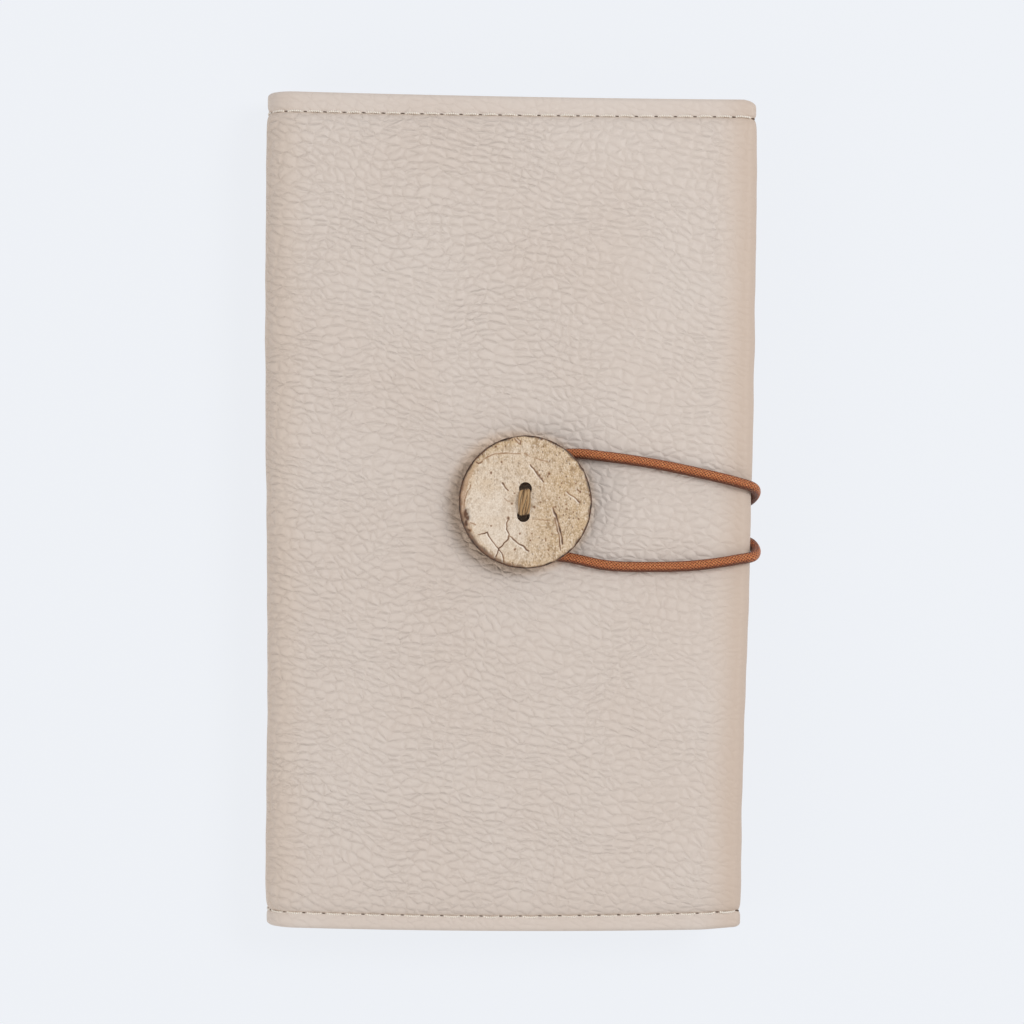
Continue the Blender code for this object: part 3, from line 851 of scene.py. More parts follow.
def makePanel(name, low, high, corner, finish, step=2.2, soft=0.3, relief=None, notch=None):
    # a flat piece with round corners and round edges; relief moves its top, notch dips its upper edge
    low, high = np.array(low), np.array(high)
    (centreX, centreY, middle), (halfX, halfY, halfZ) = (low + high) / 2, (high - low) / 2
    x, y = np.meshgrid(edgeLines(halfX, step), edgeLines(halfY, step))
    pastX, pastY = np.maximum(np.abs(x) - (halfX - corner), 0), np.maximum(np.abs(y) - (halfY - corner), 0)
    inCorner = (pastX > 0) & (pastY > 0)
    pull = np.where(inCorner, rounding(pastX, pastY), 1)
    x = np.sign(x) * np.where(inCorner, halfX - corner + pastX * pull, np.abs(x))
    y = np.sign(y) * np.where(inCorner, halfY - corner + pastY * pull, np.abs(y))
    gapX, gapY = np.abs(x) - (halfX - corner), np.abs(y) - (halfY - corner)
    outside = np.hypot(np.maximum(gapX, 0), np.maximum(gapY, 0)) + np.minimum(np.maximum(gapX, gapY), 0)
    puff = halfZ * roundOver(shareOf(corner - outside, 0, soft))
    if notch:
        y = y - notched(x, 0, notch) * smoothStep(y, halfY - pockets["easedBelow"], halfY)
    x, y = x + centreX, y + centreY
    top = middle + puff + (relief(x, y) if relief else 0)
    # the two faces share the points along the edge
    index = np.arange(x.size).reshape(x.shape)
    under = index.copy()
    under[1:-1, 1:-1] += x.size
    points = np.concatenate([np.stack((x, y, z), 2).reshape(-1, 3) for z in (top, middle - puff)])
    used, faces = np.unique(np.concatenate((quads(index), quads(under, True))), return_inverse=True)
    thing = makeMesh(name, points[used], faces.reshape(-1, 4).tolist(), finish)
    storePattern(thing, points[used, :2] * mm)
    return thing


foam = {
    "roughness": 0.95,
    "cell": 0.5,
    "depth": 0.12,
    "colour": (228, 222, 208),
    "dark": (196, 187, 168),
    "corner": 4,
    "soft": 0.7,
    "pressedShare": 0.95,
}


def foamFinish():
    newFinish("openFoam", foam)
    cells = spotsOver(placeBy("Object"), [foam["cell"]] * 3)["Distance"]
    addBump(cells)
    return paint("dark", (ramp(cells, 0.1, 0.6), "colour"))


def sunk(x, y):
    return -foam["pressedShare"] * pressed(x, y)


openFoam = foamFinish()
for name, node, body, step, relief in (("frontPad", "front_padding", "front_cover", 2.0, sunk),
                                       ("backPad", "back_padding", "back_cover", 3.0, None)):
    pad = makePanel(name, *boxInMm(node), foam["corner"], openFoam, step, foam["soft"], relief=relief)
    settle(pad, "padding", node, body=body)

pockets = {
    "corner": 3,
    "notch": (12.5, 11),
    "easedBelow": 34,
    "stitchInset": 2.4,
    "stitchPitch": 3.6,
    "stitchLength": 2.9,
}
cardBoxes = [boxInMm(f"card_pocket_{number}") for number in (1, 2, 3)]
for number, box in enumerate(cardBoxes, 1):
    panel = makePanel(f"cardPocket{number}", *box, pockets["corner"], coverLeather)
    settle(panel, "leather", f"card_pocket_{number}", body="front_cover")
documentBox = boxInMm("document_pocket")
documentPocket = makePanel(
    "documentPocket", *documentBox, pockets["corner"], coverLeather, 1.6, notch=pockets["notch"]
)
settle(documentPocket, "leather", "document_pocket", body="back_cover")
print("pads and pockets are in")


# Card boards, left as the frame's own solids.

boardLook = {
    "roughness": 0.9,
    "fibre": (2.4, 0.5, 1.2),
    "fleck": (0.5, 0.5, 0.5),
    "depth": 0.05,
    "colour": (158, 140, 117),
    "dark": (128, 109, 87),
}


def boardFinish():
    newFinish("greyBoard", boardLook)
    place = placeBy("Object")
    fibre = noiseOver(place, boardLook["fibre"], 4.0)
    fleck = noiseOver(place, boardLook["fleck"])
    addBump(fibre)
    share = plus(ramp(fibre, 0.35, 0.65, 0.0, 0.6), ramp(fleck, 0.6, 0.75, 0.0, 0.4))
    return paint("colour", (share, "dark"))


cardBoard = boardFinish()
for node in ("front_board", "back_board", "button_backing"):
    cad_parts[node].data.materials[0] = cardBoard


# Stitches, laid along rows by Geometry Nodes: a thread between every two needle holes.

stitching = {
    "pitch": cover["stitchPitch"],
    "length": 3.6,
    "thread": 0.27,
    "threadSides": 6,
    "threadSteps": 8,
    "arch": 0.2,
    "sink": 0.1,
    "endThinning": 0.45,
    "hole": 0.47,
    "holeShape": (1.25, 0.62, 0.3),
    "holeSlant": -20,
    "wander": 0.05,
    "lift": 0.14,
    "twistPitch": 0.5,
    "twistLean": 5.0,
    "seed": 7,
    "roughness": 0.6,
    "sheen": 0.3,
    "depth": 0.06,
    "colour": (252, 246, 236),
    "twistShade": (226, 210, 195),
}

# the needle holes are dark beads laid on the leather: painted shade where each hole is
needleMark = {"roughness": 0.9, "holeShadeNoise": (0.6, 0.6, 0.6), "colour": (76, 60, 48), "pale": (112, 92, 78)}


def threadFinish():
    newFinish("sewingThread", stitching)
    across = partsOf(scaled(placeBy("Object"), (1, 1, 1)))["Y"]
    turned = times(mark("along"), 2 * math.pi / (stitching["twistPitch"] * mm))
    twist = calc("SINE", timesPlus(across, stitching["twistLean"], turned))
    addBump(twist)
    return paint("twistShade", (ramp(twist, -1.0, 0.6), "colour"))


def holeFinish():
    newFinish("needleHole", needleMark)
    return paint("colour", (noiseOver(placeBy("Object"), needleMark["holeShadeNoise"]), "pale"))


def geometry(kind, inputs, **options):
    # the first output of one geometry node
    return addNode("GeometryNode" + kind, inputs, **options)[0]


def stitchTree():
    tree = bpy.data.node_groups.new("stitchRow", "GeometryNodeTree")
    bench.update(tree=tree)
    sockets = [("Row", "Geometry")]
    sockets += [(name, "Float") for name in ("Pitch", "Length", "Thread", "Arch", "Sink", "Hole", "Wander")]
    sockets += [("Seed", "Int"), ("Thread Finish", "Material"), ("Hole Finish", "Material")]
    for name, kind in sockets:
        tree.interface.new_socket(name, in_out="INPUT", socket_type="NodeSocket" + kind)
    tree.interface.new_socket("Stitches", in_out="OUTPUT", socket_type="NodeSocketGeometry")
    start = addNode("NodeGroupInput")
    # an odd number of points on each row: holes on the even ones and threads on the odd ones
    row = geometry("MeshToCurve", {"Mesh": start["Row"]})
    whole = calc("ROUND", calc("DIVIDE", addNode("GeometryNodeSplineLength")["Length"], start["Pitch"]))
    count = plus(times(whole, 2.0), 1.0)
    marks = geometry("ResampleCurve", {"Curve": row, "Count": count}, mode="COUNT")
    odd = calc("MODULO", addNode("GeometryNodeSplineParameter")["Index"], 2.0)
    axes = {
        "Primary Axis": addNode("GeometryNodeInputTangent")["Tangent"],
        "Secondary Axis": geometry("InputNamedAttribute", {"Name": "outward"}, data_type="FLOAT_VECTOR"),
    }
    facing = addNode("FunctionNodeAxesToRotation", axes, primary_axis="X", secondary_axis="Z")[0]
    spread = vectorOf(Y=times(start["Wander"], 0.5), Z=start["Wander"])
    back = addNode("ShaderNodeVectorMath", {0: spread, "Scale": -1.0}, operation="SCALE")[0]
    chance = {"Seed": start["Seed"], "Min": back, "Max": spread}
    turn = addNode("FunctionNodeRandomValue", chance, data_type="FLOAT_VECTOR")["Value"]
    turn = addNode("FunctionNodeEulerToRotation", {"Euler": turn})[0]
    facing = addNode("FunctionNodeRotateRotation", {0: facing, 1: turn}, rotation_space="LOCAL")[0]
    # one thread: an arched line with a round section that dives at both ends
    half = times(start["Length"], 0.5)
    line = geometry("CurvePrimitiveLine", {"Start": vectorOf(X=times(half, -1.0)), "End": vectorOf(X=half)})
    line = geometry("ResampleCurve", {"Curve": line, "Count": stitching["threadSteps"]}, mode="COUNT")
    factor = addNode("GeometryNodeSplineParameter")
    centred = timesPlus(factor["Factor"], 2.0, -1.0)
    square = times(centred, centred)
    fourth = times(square, square)
    lift = minus(start["Arch"], times(fourth, plus(start["Arch"], start["Sink"])))
    line = geometry("SetPosition", {"Geometry": line, "Offset": vectorOf(Z=lift)})
    thinning = minus(1.0, times(fourth, stitching["endThinning"]))
    line = geometry("SetCurveRadius", {"Curve": line, "Radius": thinning})
    stored = {"Geometry": line, "Name": "along", "Value": factor["Length"]}
    line = geometry("StoreNamedAttribute", stored, data_type="FLOAT", domain="POINT")
    ring = {"Resolution": stitching["threadSides"], "Radius": start["Thread"]}
    tube = {"Curve": line, "Profile Curve": geometry("CurvePrimitiveCircle", ring), "Fill Caps": True}
    thread = geometry("CurveToMesh", tube)
    bead = geometry("MeshUVSphere", {"Segments": 8, "Rings": 4, "Radius": start["Hole"]})
    slanting = (0, 0, math.radians(stitching["holeSlant"]))
    shape = {"Geometry": bead, "Scale": stitching["holeShape"], "Rotation": slanting}
    bead = geometry("Transform", shape)
    both = tree.nodes.new("GeometryNodeJoinGeometry")
    for piece, chosen, finish in ((bead, minus(1.0, odd), "Hole Finish"), (thread, odd, "Thread Finish")):
        piece = geometry("SetShadeSmooth", {"Geometry": piece})
        copies = {"Points": marks, "Selection": chosen, "Instance": piece, "Rotation": facing}
        piece = geometry("RealizeInstances", {"Geometry": geometry("InstanceOnPoints", copies)})
        piece = geometry("SetMaterial", {"Geometry": piece, "Material": start[finish]})
        tree.links.new(piece, both.inputs[0])
    addNode("NodeGroupOutput", {"Stitches": both.outputs[0]})
    return tree


sewingThread = threadFinish()
needleHole = holeFinish()
stitchNodes = stitchTree()


def sewRows(name, rows, pitch=stitching["pitch"], length=stitching["length"]):
    # rows are pairs of places and outward directions, in millimetres
    edges, count = [], 0
    for places, _ in rows:
        edges += [(count + i, count + i + 1) for i in range(len(places) - 1)]
        count += len(places)
    places, directions = [np.concatenate(kind) for kind in zip(*rows)]
    thing = makeMesh(name, places, [], edges=edges)
    outward = thing.data.attributes.new("outward", "FLOAT_VECTOR", "POINT")
    outward.data.foreach_set("vector", directions.astype(np.float32).ravel())
    sewn = thing.modifiers.new("Stitches", "NODES")
    sewn.node_group = stitchNodes
    values = {size.title(): stitching[size] * mm for size in ("thread", "arch", "sink", "hole")}
    values.update({
        "Pitch": pitch * mm,
        "Length": length * mm,
        "Wander": stitching["wander"],
        "Seed": stitching["seed"],
        "Thread Finish": sewingThread,
        "Hole Finish": needleHole,
    })
    for item in stitchNodes.interface.items_tree:
        if item.item_type == "SOCKET" and item.in_out == "INPUT" and item.name in values:
            sewn[item.identifier] = values[item.name]
    return finishedMesh(thing)


def coverRows(sheet):
    # both seams, on the outer face from the spine to the edge fold and on the sleeve back to its mouth
    found = []
    counts = sheet["counts"]
    for wanted in (seamY, -seamY):
        row = int(np.argmin(np.abs(sheet["rows"] - wanted)))
        for columns in (slice(0, counts[4] + 5), slice(counts[5] - 4, counts[7] - 2)):
            directions = sheet["normals"][row, columns]
            found.append((sheet["outer"][row, columns] + directions * stitching["lift"], directions))
    return found


def panelRows(low, high, z, direction, hiddenBelow=None, notch=None):
    # a row across the top, and rows down both sides and along the foot where they show
    inset = pockets["stitchInset"]
    left, right, foot, top = low[0] + inset, high[0] - inset, low[1] + inset, high[1] - inset
    across = np.linspace(left, right, 60)
    lines = [(across, top - notched(across, (left + right) / 2, notch) if notch else top)]
    start = foot if hiddenBelow is None else hiddenBelow + 1
    lines += [(x, np.linspace(start, top - 2, 40)) for x in (left, right)]
    if hiddenBelow is None:
        lines.append((across, foot))
    rows = [np.stack(np.broadcast_arrays(x, y, z), 1) for x, y in lines]
    return [(places, np.tile((0, 0, direction), (len(places), 1))) for places in rows]


frontStitches = sewRows("frontStitches", coverRows(frontSheet))
bendWithFront(frontStitches)
settle(frontStitches, "twine")
backStitches = sewRows("backStitches", coverRows(backSheet))
bendWithBack(backStitches)
settle(backStitches, "twine")
cardRows = []
for (low, high), over in zip(cardBoxes, [*[box[1][1] for box in cardBoxes[1:]], None]):
    cardRows += panelRows(low, high, low[2], -1, over)
documentRows = panelRows(*documentBox, documentBox[1][2], 1, notch=pockets["notch"])
for name, rows, body in (("cardStitches", cardRows, "front_cover"),
                         ("documentStitches", documentRows, "back_cover")):
    settle(sewRows(name, rows, pockets["stitchPitch"], pockets["stitchLength"]), "twine", body=body)
print(f"stitches: {len(frontStitches.data.polygons)} faces on the front")


# The button: a slice of coconut shell, its face sanded pale, its rim and its cracks left dark.

button = {
    "crown": 0.3,
    "rimRound": 0.5,
    "gridLines": 270,
    "gridCurve": 1.25,
    "holeRadius": 1.52,
    "holeDepth": 12,
    "holeSides": 40,
    "holePitch": 6.4,
    "holeTilt": 4.3,
    "holeShift": -0.2,
    "crackDepth": 0.11,
    "crackWander": 0.12,
    "ragged": 0.004,
    "wall": ((1.0, 0.4), (1.0, 1.0), (1.0, 1.6)),
    "underside": ((1.0, 0.6), (0.985, 0.2), (0.96, 0), (0.8, 0), (0.55, 0), (0.3, 0), (0.1, 0)),
    "roughness": 0.42,
    "depth": 0.1,
    "mottleSize": (0.75, 1.3, 1),
    "fineSize": (0.28, 0.45, 0.3),
    "cloudSize": (5, 5, 5),
    "fleckCell": (0.8, 1.25, 1.2),
    "pale": (227, 211, 193),
    "tan": (206, 178, 142),
    "mottle": (148, 117, 80),
    "rosy": (172, 134, 106),
    "chip": (246, 238, 226),
    "crack": (70, 42, 26),
    "crackSide": (158, 118, 82),
    "bark": (96, 62, 38),
    "darkBark": (54, 34, 20),
}

# Each crack: its strength, its width, and the places it runs through, from the button's middle.
cracks = (
    (1.0, 0.2, ((1.3, 8.8), (2.4, 7.3), (3.5, 6.0), (4.3, 4.8))),
    (0.8, 0.3, ((2.7, 7.3), (3.1, 6.4), (3.7, 5.6))),
    (0.3, 0.16, ((4.3, 4.2), (4.8, 1.8), (5.3, 0.8), (6.0, -0.5))),
    (1.0, 0.3, ((6.5, -1.2), (7.1, -2.8), (7.6, -4.3), (8.2, -6.4), (8.6, -8.2), (8.7, -9.9))),
    (0.7, 0.18, ((6.9, -3.8), (7.4, -5.6), (7.9, -7.6), (8.1, -9.4), (8.3, -11.4))),
    (0.45, 0.2, ((-9.9, 10.2), (-8.1, 11.1), (-5.6, 11.6), (-3.2, 11.6), (-1.1, 11.4))),
    (0.35, 0.2, ((-0.2, 11.4), (1.6, 10.6), (3.8, 9.9), (5.6, 9.5))),
    (0.8, 0.2, ((-4.1, -3.9), (-4.3, -4.9), (-4.4, -6.4), (-3.8, -7.6), (-4.1, -8.8), (-6.3, -11.1),
                (-7.0, -13.0))),
    (0.8, 0.2, ((-3.7, -8.1), (-2.0, -9.4), (0.1, -11.0), (0.8, -11.6))),
    (0.8, 0.2, ((-9.0, -7.2), (-8.1, -8.8), (-6.3, -11.1), (-5.5, -12.0), (-5.2, -14.0))),
    (0.7, 0.18, ((-11.1, -7.7), (-10.1, -7.5), (-9.0, -7.2))),
    (0.8, 0.22, ((-5.4, 4.5), (-4.8, 3.6), (-4.1, 2.7))),
    (0.45, 0.18, ((-4.9, 1.0), (-3.8, 0.0), (-3.1, -0.4))),
    (0.6, 0.22, ((-2.6, 15.2), (-2.1, 14.4), (-1.6, 13.7))),
    (0.8, 0.25, ((-1.9, 15.1), (-1.2, 14.5), (-1.3, 13.7))),
    (0.7, 0.22, ((-11.6, 9.5), (-11.1, 9.2), (-10.5, 9.3), (-10.1, 9.6))),
    (0.8, 0.18, ((9.8, 2.4), (11.5, 1.2), (12.9, 0.0))),
    (0.7, 0.18, ((12.3, 3.0), (13.0, 2.3))),
    (0.3, 0.18, ((1.6, -4.0), (3.8, -4.2), (5.9, -4.4))),
    (0.5, 0.18, ((7.0, 14.2), (7.1, 13.2), (7.3, 12.4))),
    (0.4, 0.18, ((9.8, 10.4), (10.9, 10.6))),
    (0.7, 0.2, ((-12.9, -4.9), (-12.3, -5.1), (-11.7, -5.4))),
    (0.5, 0.16, ((-12.9, 4.0), (-13.7, 2.3), (-14.2, 0.9), (-14.5, -1.3))),
    (0.7, 0.18, ((4.8, -8.5), (4.8, -9.3))),
)
# Each pit: its place and its size. Each patch of bark left on the face: its place, its width and its height.
pits = (
    (-8.1, 6.9, 0.28), (-6.9, 13.1, 0.25), (-5.5, 9.5, 0.25), (-2.5, 2.1, 0.18), (-3.2, -0.4, 0.25),
    (2.1, -1.2, 0.28), (-8.1, -5.6, 0.2), (-13.2, -6.7, 0.4), (-1.3, -7.5, 0.22), (5.6, 6.7, 0.34),
    (5.3, 6.0, 0.18), (8.6, 4.5, 0.2), (8.0, 1.0, 0.18), (7.1, -1.2, 0.2), (9.7, -0.6, 0.18),
    (12.7, -4.0, 0.23), (6.3, -7.5, 0.18), (1.3, -9.1, 0.2), (9.8, -1.7, 0.2), (12.0, 4.4, 0.18),
    (13.0, 2.4, 0.22), (5.4, -11.3, 0.18), (1.6, -7.5, 0.18), (-2.5, -11.1, 0.23), (3.8, 14.9, 0.28),
    (13.5, -6.4, 0.18), (11.4, -2.5, 0.15), (-4.1, -3.8, 0.34), (3.5, 0.0, 0.18), (9.2, 1.8, 0.15),
    (3.3, 6.3, 0.35), (3.9, 5.5, 0.3),
)
barkPatches = ((-14.0, -2.7, 0.6, 1.0), (-13.6, -3.7, 0.5, 0.7), (-14.0, -5.0, 0.35, 0.8))


def buttonDisc(finish):
    # the crowned face, then rings down the wall and in along the underside to its middle
    curve = button["gridCurve"]
    lines = np.sin(np.linspace(-1, 1, button["gridLines"]) * curve) / math.sin(curve)
    u, v = np.meshgrid(lines, lines)
    x, y = u * rounding(u, v) * buttonRadius, v * rounding(u, v) * buttonRadius
    far = np.hypot(x, y)
    drop = button["rimRound"] * (1 - roundOver(shareOf(buttonRadius - far, 0, button["rimRound"])))
    height = buttonHigh.z - button["crown"] * (far / buttonRadius) ** 2 - drop
    index = np.arange(x.size).reshape(x.shape)
    faces = quads(index).tolist()
    before = np.concatenate((index[0, :-1], index[:-1, -1], index[-1, :0:-1], index[:0:-1, 0]))
    points = [np.stack((x, y, height), 2).reshape(-1, 3)]
    rim = points[0][before]
    low = buttonLow.z
    rings = [(size, rim[0][2] - down) for size, down in button["wall"]]
    rings += [(size, low + up) for size, up in button["underside"]]
    total = x.size
    for size, z in rings:
        points.append(np.column_stack((rim[:, :2] * size, np.full(len(rim), z))))
        after = np.arange(total, total + len(rim))
        total += len(rim)
        faces += np.stack((before, after, np.roll(after, -1), np.roll(before, -1)), 1).tolist()
        before = after
    points.append([[0, 0, low]])
    faces += [(int(before[i - 1]), total, int(before[i])) for i in range(len(before))]
    # a slightly ragged rim
    x, y, z = np.concatenate(points).T
    angle = np.arctan2(y, x)
    ragged = button["ragged"] * wander(np.cos(angle) * 9, np.sin(angle) * 9 + z * 0.8, 1.6, 2.2)
    size = 1 + ragged * smoothStep(np.hypot(x, y), buttonRadius - 1.2, buttonRadius - 0.2)
    placed = np.column_stack((x * size + buttonX, y * size + buttonY, z))
    return makeMesh("shellButton", placed, faces, finish)


def drillHoles(thing):
    tilt, cutters = math.radians(button["holeTilt"]), []
    for along in (button["holePitch"] / 2, -button["holePitch"] / 2):
        x, y = buttonX + button["holeShift"] + along * math.sin(tilt), buttonY + along * math.cos(tilt)
        bpy.ops.mesh.primitive_cylinder_add(
            vertices=button["holeSides"], radius=button["holeRadius"] * mm, depth=button["holeDepth"] * mm,
            location=Vector((x, y, buttonHigh.z)) * mm, calc_uvs=False,
        )
        cutters.append(bpy.context.object)
        hole = thing.modifiers.new("Twine hole", "BOOLEAN")
        hole.object, hole.solver = cutters[-1], "EXACT"
    finishedMesh(thing)
    for cutter in cutters:
        bpy.data.objects.remove(cutter)


def nearLine(x, y, line):
    # distance from each place to a broken line
    best = np.full(x.shape, 1e9)
    for (ax, ay), (bx, by) in zip(line, line[1:]):
        span = (bx - ax) ** 2 + (by - ay) ** 2
        t = np.clip(((x - ax) * (bx - ax) + (y - ay) * (by - ay)) / span, 0, 1)
        best = np.minimum(best, np.hypot(x - ax - t * (bx - ax), y - ay - t * (by - ay)))
    return best


def markButton(thing):
    # where the cracks, the pits and the bark are
    points = verticesOf(thing)
    x, y, z = points[:, 0] - buttonX, points[:, 1] - buttonY, points[:, 2]
    onTop = z > buttonHigh.z - button["crown"] - button["rimRound"] - 0.05
    reach = button["crackWander"]
    atX, atY = x + reach * wander(x, y, 1.1, 6.6), y + reach * wander(x, y, 1.1, 1.9)
    uneven = 1.0 + 0.4 * wander(x, y, 1.9, 3.7)
    crack, chip = np.zeros(len(x)), np.zeros(len(x))
    for strength, width, line in cracks:
        crack = np.maximum(crack, 1.1 * strength * uneven * hill(nearLine(atX, atY, line), width * 0.76))
        if strength >= 0.8:
            # a painted highlight on the wall of the crack that faces the light
            chip = np.maximum(chip, strength * uneven * hill(nearLine(atX + 0.26, atY + 0.16, line), 0.12))
    for px, py, size in pits:
        crack = np.maximum(crack, hill(np.hypot(atX - px, atY - py), size))
    crack = np.clip(crack, 0, 1) * onTop
    chip = np.clip(chip * (1 - crack), 0, 1) * onTop
    far, angle = np.hypot(x, y), np.degrees(np.arctan2(y, x))
    lowerLeft, left = hill(angle + 136, 34), hill(np.abs(angle) - 172, 24)
    rim = buttonRadius - np.maximum(0.45 + 0.4 * lowerLeft + 0.12 * left + 0.3 * wander(x, y, 2.0, 7.1), 0.2)
    edge = smoothStep(far, rim - 0.3 - 0.35 * lowerLeft, rim + 0.25)
    patches = [hill(np.hypot((atX - px) / wide, (atY - py) / tall), 1) for px, py, wide, tall in barkPatches]
    patch = np.max(patches, 0) * (1.5 + 0.7 * wander(x, y, 0.7, 4.9))
    bark = np.where(onTop, edge * (0.7 + 0.3 * (far > buttonRadius - 0.4)), 1)
    # the sanded face: palest at the lower left, rosy where it nears the bark
    tan = 0.5 + 0.5 * smoothStep(x + 2 * wander(x, y, 6, 2.5), -3, 9)
    tan = tan - 0.85 * hill(np.hypot(x + 7, y + 5), 7.5)
    tan = tan + 0.5 * smoothStep(far, buttonRadius - 2.6, buttonRadius - 0.8)
    rosy = smoothStep(far, buttonRadius - 1.75, buttonRadius - 1.3) * np.clip(left * 1.3, 0, 1)
    rosy = np.maximum(rosy, 1.5 * smoothStep(far, buttonRadius - 1.5, buttonRadius - 0.5) * lowerLeft)
    points[:, 2] -= button["crackDepth"] * crack
    thing.data.vertices.foreach_set("co", (points * mm).ravel())
    storeMarks(
        thing,
        crack=crack,
        chip=chip,
        bark=np.clip(np.maximum(bark, patch), 0, 1),
        tan=np.clip(tan, 0, 1),
        rosy=rosy,
    )


def shellFinish():
    newFinish("coconutShell", button)
    place = placeBy("Object")
    mottle = noiseOver(place, button["mottleSize"], 4.0)
    fine = noiseOver(place, button["fineSize"], 3.0)
    cloud = noiseOver(place, button["cloudSize"], 3.0)
    # short dark fibres, in some of the cells of a loose pattern
    cells = spotsOver(place, button["fleckCell"])
    chosen = ramp(addNode("ShaderNodeSeparateColor", {"Color": cells["Color"]})["Red"], 0.45, 0.6)
    tan, crack = mark("tan"), mark("crack")
    flecks = times(ramp(cells["Distance"], 0.06, 0.3, 1.0, 0.0), chosen, timesPlus(tan, 0.75, 0.15))
    addBump(minus(timesPlus(fine, 0.5, times(mottle, 0.3)), flecks))
    rough = timesPlus(tan, 0.6, 0.4)
    return paint(
        "pale",
        (timesPlus(tan, 0.85, ramp(cloud, 0.4, 0.65, -0.1, 0.2)), "tan"),
        (times(ramp(mottle, 0.45, 0.72, 0.0, 0.75), rough), "mottle"),
        (times(ramp(fine, 0.5, 0.72, 0.0, 0.75), rough), "mottle"),
        (ramp(fine, 0.48, 0.3, 0.0, 0.5), "chip"),
        (times(mark("rosy"), 0.6), "rosy"),
        (times(flecks, 0.9), "bark"),
        # painted highlight beside the strongest cracks
        (times(mark("chip"), 0.9), "chip"),
        (ramp(crack, 0.02, 0.45, 0.0, 0.8), "crackSide"),
        (ramp(crack, 0.35, 1.1), "crack"),
        (mark("bark"), mixColour(ramp(mottle, 0.35, 0.65), "darkBark", "bark")),
    )


shellButton = buttonDisc(shellFinish())
drillHoles(shellButton)
markButton(shellButton)
settle(shellButton, "button", "closure_button", body="front_cover")
print(f"button: {len(shellButton.data.polygons)} faces")


# Three strands of twine tie the button on.

twine = {
    "strand": 0.52,
    "sides": 14,
    "step": 0.22,
    "spread": 0.86,
    "legSpread": 0.62,
    "plunge": 2.55,
    "archTop": 0.95,
    "twistPitch": 7,
    "fibre": 1.5,
    "roughness": 0.6,
    "sheen": 0.1,
    "depth": 0.12,
    "colour": (172, 135, 92),
    "dark": (88, 66, 42),
    "light": (200, 174, 130),
}


def twineFinish():
    newFinish("waxedTwine", twine)
    along, around, _ = partsOf(placeBy("UV"))
    ply = wave(timesPlus(around, 3.0, calc("DIVIDE", along, twine["twistPitch"] * mm)), folded=True)
    fibre = noiseAt(vectorOf(X=calc("DIVIDE", along, twine["fibre"] * mm), Y=times(around, 14.0)), 3.0)
    addBump(plus(ply, fibre))
    return paint("dark", (ramp(ply, 0.0, 0.7), "colour"), (ramp(fibre, 0.5, 0.7, 0.0, 0.6), "light"))


def makeTwine(finish):
    # each strand comes up through one hole, lies over the bridge and goes down through the other
    top, plunge = buttonHigh.z, twine["plunge"]
    arch = top + twine["archTop"]
    outline = [(plunge, thickness - cover["packedLayers"]), (plunge, buttonLow.z), (plunge, top - 0.6)]
    outline += [(plunge - 0.12, top + 0.2), (plunge - 0.6, arch - 0.3), (plunge - 1.3, arch - 0.08)]
    route = outline + [(0, arch)] + [(-off, z) for off, z in reversed(outline)]
    lean = math.tan(math.radians(button["holeTilt"]))
    strands = []
    for number in (-1, 0, 1):
        places = []
        for off, z in route:
            spread, cross, lift = twine["legSpread"], 0, 0
            if z > top:
                spread = twine["spread"]
                cross = 0.16 * math.sin(off * 0.8 + number * 2.1)
                lift = 0.12 * math.cos(off * 0.9 + number * 2.4)
            x = buttonX + button["holeShift"] + number * spread + cross + off * lean
            places.append((x, buttonY + off + 0.12 * number, z + lift))
        path = smoothRoute(places, twine["step"])
        strands.append(makeTube("twineStrand", path, twine["strand"], twine["sides"], finish))
    with bpy.context.temp_override(active_object=strands[0], selected_editable_objects=strands):
        bpy.ops.object.join()
    strands[0].name = strands[0].data.name = "buttonTwine"
    return strands[0]


buttonTwine = makeTwine(twineFinish())
settle(buttonTwine, "twine", "button_thread", body="front_cover")


# The braided elastic: one length from the knot out through the back edge, round the button and back.

elastic = {
    "cord": 2.5,
    "sides": 24,
    "step": 0.7,
    "noseX": 13.0,
    "noseReach": 15.3,
    "noseY": 1.2,
    "noseSpread": 12.4,
    "noseAngles": (90, 115, 140, 160, 180, 200, 220, 245, 270),
    "upper": ((21.3, 12.9), (32.2, 11.3), (43.1, 9.1)),
    "upperDown": (6.7, 5.7, 4.5, 2.9, 1.6, 0.2),
    "lower": ((21.3, -12.9), (32.2, -13.3), (43.1, -12.9)),
    "lowerDown": (-11.5, -10.9, -9.6, -7.9, -6.9, -5.8),
    "downX": (53.0, 56.2, 57.2, 56.4, 54.6, 54.4),
    "firstDrop": 0.75,
    "downZ": (21.3, 18.0, 14.6, 11.6, 8.2),
    "anchorY": -2.9,
    "anchorZ": 5.25,
    "tailX": (54.0, 52.6, 50.4),
    "tailY": (1.75, 1.45, 1.16),
    "tailZ": (6.0, 5.25, 5.25),
    "knotX": 49.8,
    "knotSize": (0.9, 0.66),
    "knotCord": 1.05,
    "knotSteps": 96,
    "knotSides": 16,
    "yarns": 10,
    "yarnPitch": 0.8,
    "roughness": 0.5,
    "depth": 0.55,
    "colour": (178, 86, 40),
    "dark": (66, 32, 18),
    "light": (246, 166, 108),
}


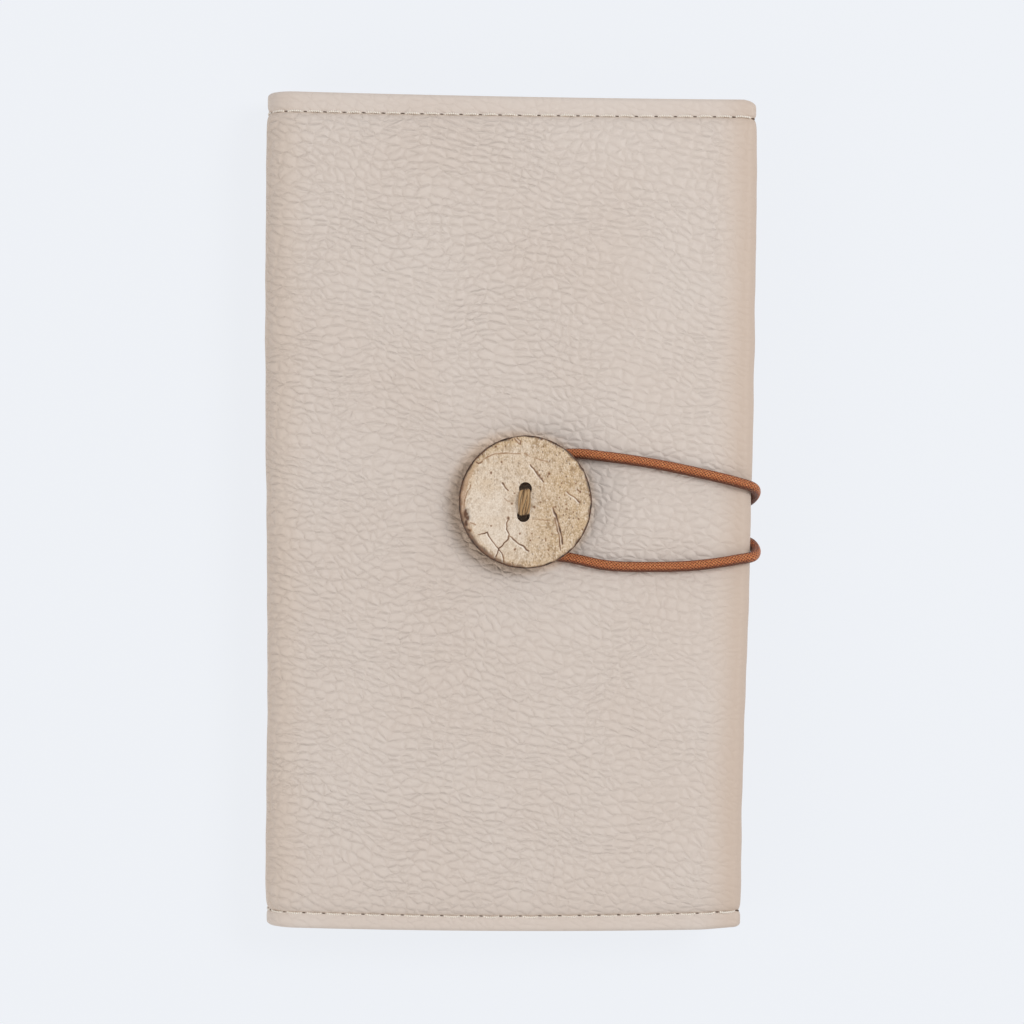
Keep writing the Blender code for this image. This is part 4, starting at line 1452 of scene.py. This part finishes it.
def elasticFinish():
    newFinish("braidedElastic", elastic)
    parts = partsOf(placeBy("UV"))
    along = calc("DIVIDE", parts["X"], elastic["yarnPitch"] * mm)
    around = times(parts["Y"], float(elastic["yarns"]))
    # two sets of yarns wind opposite ways and pass over each other by turns
    first, second = [wave(way(along, around), folded=True) for way in (plus, minus)]
    over = ramp(times(wave(along, 2), wave(around, 2)), -0.15, 0.15)
    yarn = plus(times(first, over), times(second, minus(1.0, over)))
    fuzz = noiseAt(vectorOf(X=times(along, 2.6), Y=times(around, 2.4)), 3.0)
    addBump(timesPlus(fuzz, 0.5, yarn))
    rubbed = mark("rubbed")
    return paint(
        "dark",
        (ramp(yarn, 0.15, 0.95), "colour"),
        # painted glints on the tops of the yarns
        (times(ramp(fuzz, 0.48, 0.64, 0.0, 0.95), ramp(yarn, 0.4, 0.9, 0.2, 1.0)), "light"),
        # painted shade down the cord's sides and a painted highlight along its middle
        (ramp(rubbed, 0.0, 1.0, 0.74, 0.0), "dark"),
        (ramp(rubbed, 0.6, 1.0, 0.0, 0.22), "light"),
    )


def elasticRoute():
    # over the cover, round its edge and in under the lining to the knot, on both sides of the nose
    z = thickness + cover["touchGap"] + elastic["cord"] / 2
    downZ = (z - elastic["firstDrop"], *elastic["downZ"])
    nose = []
    for angle in map(math.radians, elastic["noseAngles"]):
        x = elastic["noseX"] + elastic["noseReach"] * math.cos(angle)
        nose.append((x, elastic["noseY"] + elastic["noseSpread"] * math.sin(angle), z))
    strands = []
    for side, name in ((1, "upper"), (-1, "lower")):
        places = [(x, y, z) for x, y in elastic[name]]
        places += zip(elastic["downX"], elastic[name + "Down"], downZ)
        tail = zip(elastic["tailX"], elastic["tailY"], elastic["tailZ"])
        strands.append(places + [(x, elastic["anchorY"] + side * off, depth) for x, off, depth in tail])
    return strands[0][::-1] + nose + strands[1]


braidedElastic = elasticFinish()
elasticPlaces = smoothRoute(elasticRoute(), elastic["step"])
elasticLoop = makeTube("elasticLoop", elasticPlaces, elastic["cord"] / 2, elastic["sides"], braidedElastic)
around = verticesOf(elasticLoop).reshape(-1, elastic["sides"], 3) - elasticPlaces[:, None]
aroundX, aroundY, aroundZ = np.moveaxis(around / (elastic["cord"] / 2), 2, 0)
# which way each point of the cord faces, up or down and leaning towards +Y, and outward past the edge: high
# for the painted highlight, low at the sides for painted shade
overEdge = smoothStep(elasticPlaces[:, :1], 50, 55)
outside = np.maximum(np.abs(0.95 * aroundZ + 0.32 * aroundY), (aroundX + 0.4 * np.abs(aroundZ)) * overEdge)
storeMarks(elasticLoop, rubbed=smoothStep(outside, 0.3, 1.0))
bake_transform(elasticLoop)
settle(elasticLoop, "elastic", "closure_loop", "loop_tail_upper", "loop_tail_lower")

turns = np.linspace(0, 2 * math.pi, elastic["knotSteps"] + 1)[:-1]
long, wide = elastic["knotSize"]
knotPlaces = np.stack((
    elastic["knotX"] - long * np.sin(3 * turns),
    elastic["anchorY"] + wide * (np.sin(turns) + 2 * np.sin(2 * turns)),
    elastic["anchorZ"] + wide * (np.cos(turns) - 2 * np.cos(2 * turns)),
), 1)
elasticKnot = makeTube(
    "elasticKnot", knotPlaces, elastic["knotCord"], elastic["knotSides"], braidedElastic, closed=True
)
settle(elasticKnot, "elastic", "loop_knot", body="back_cover")
print("button, twine and elastic are in")
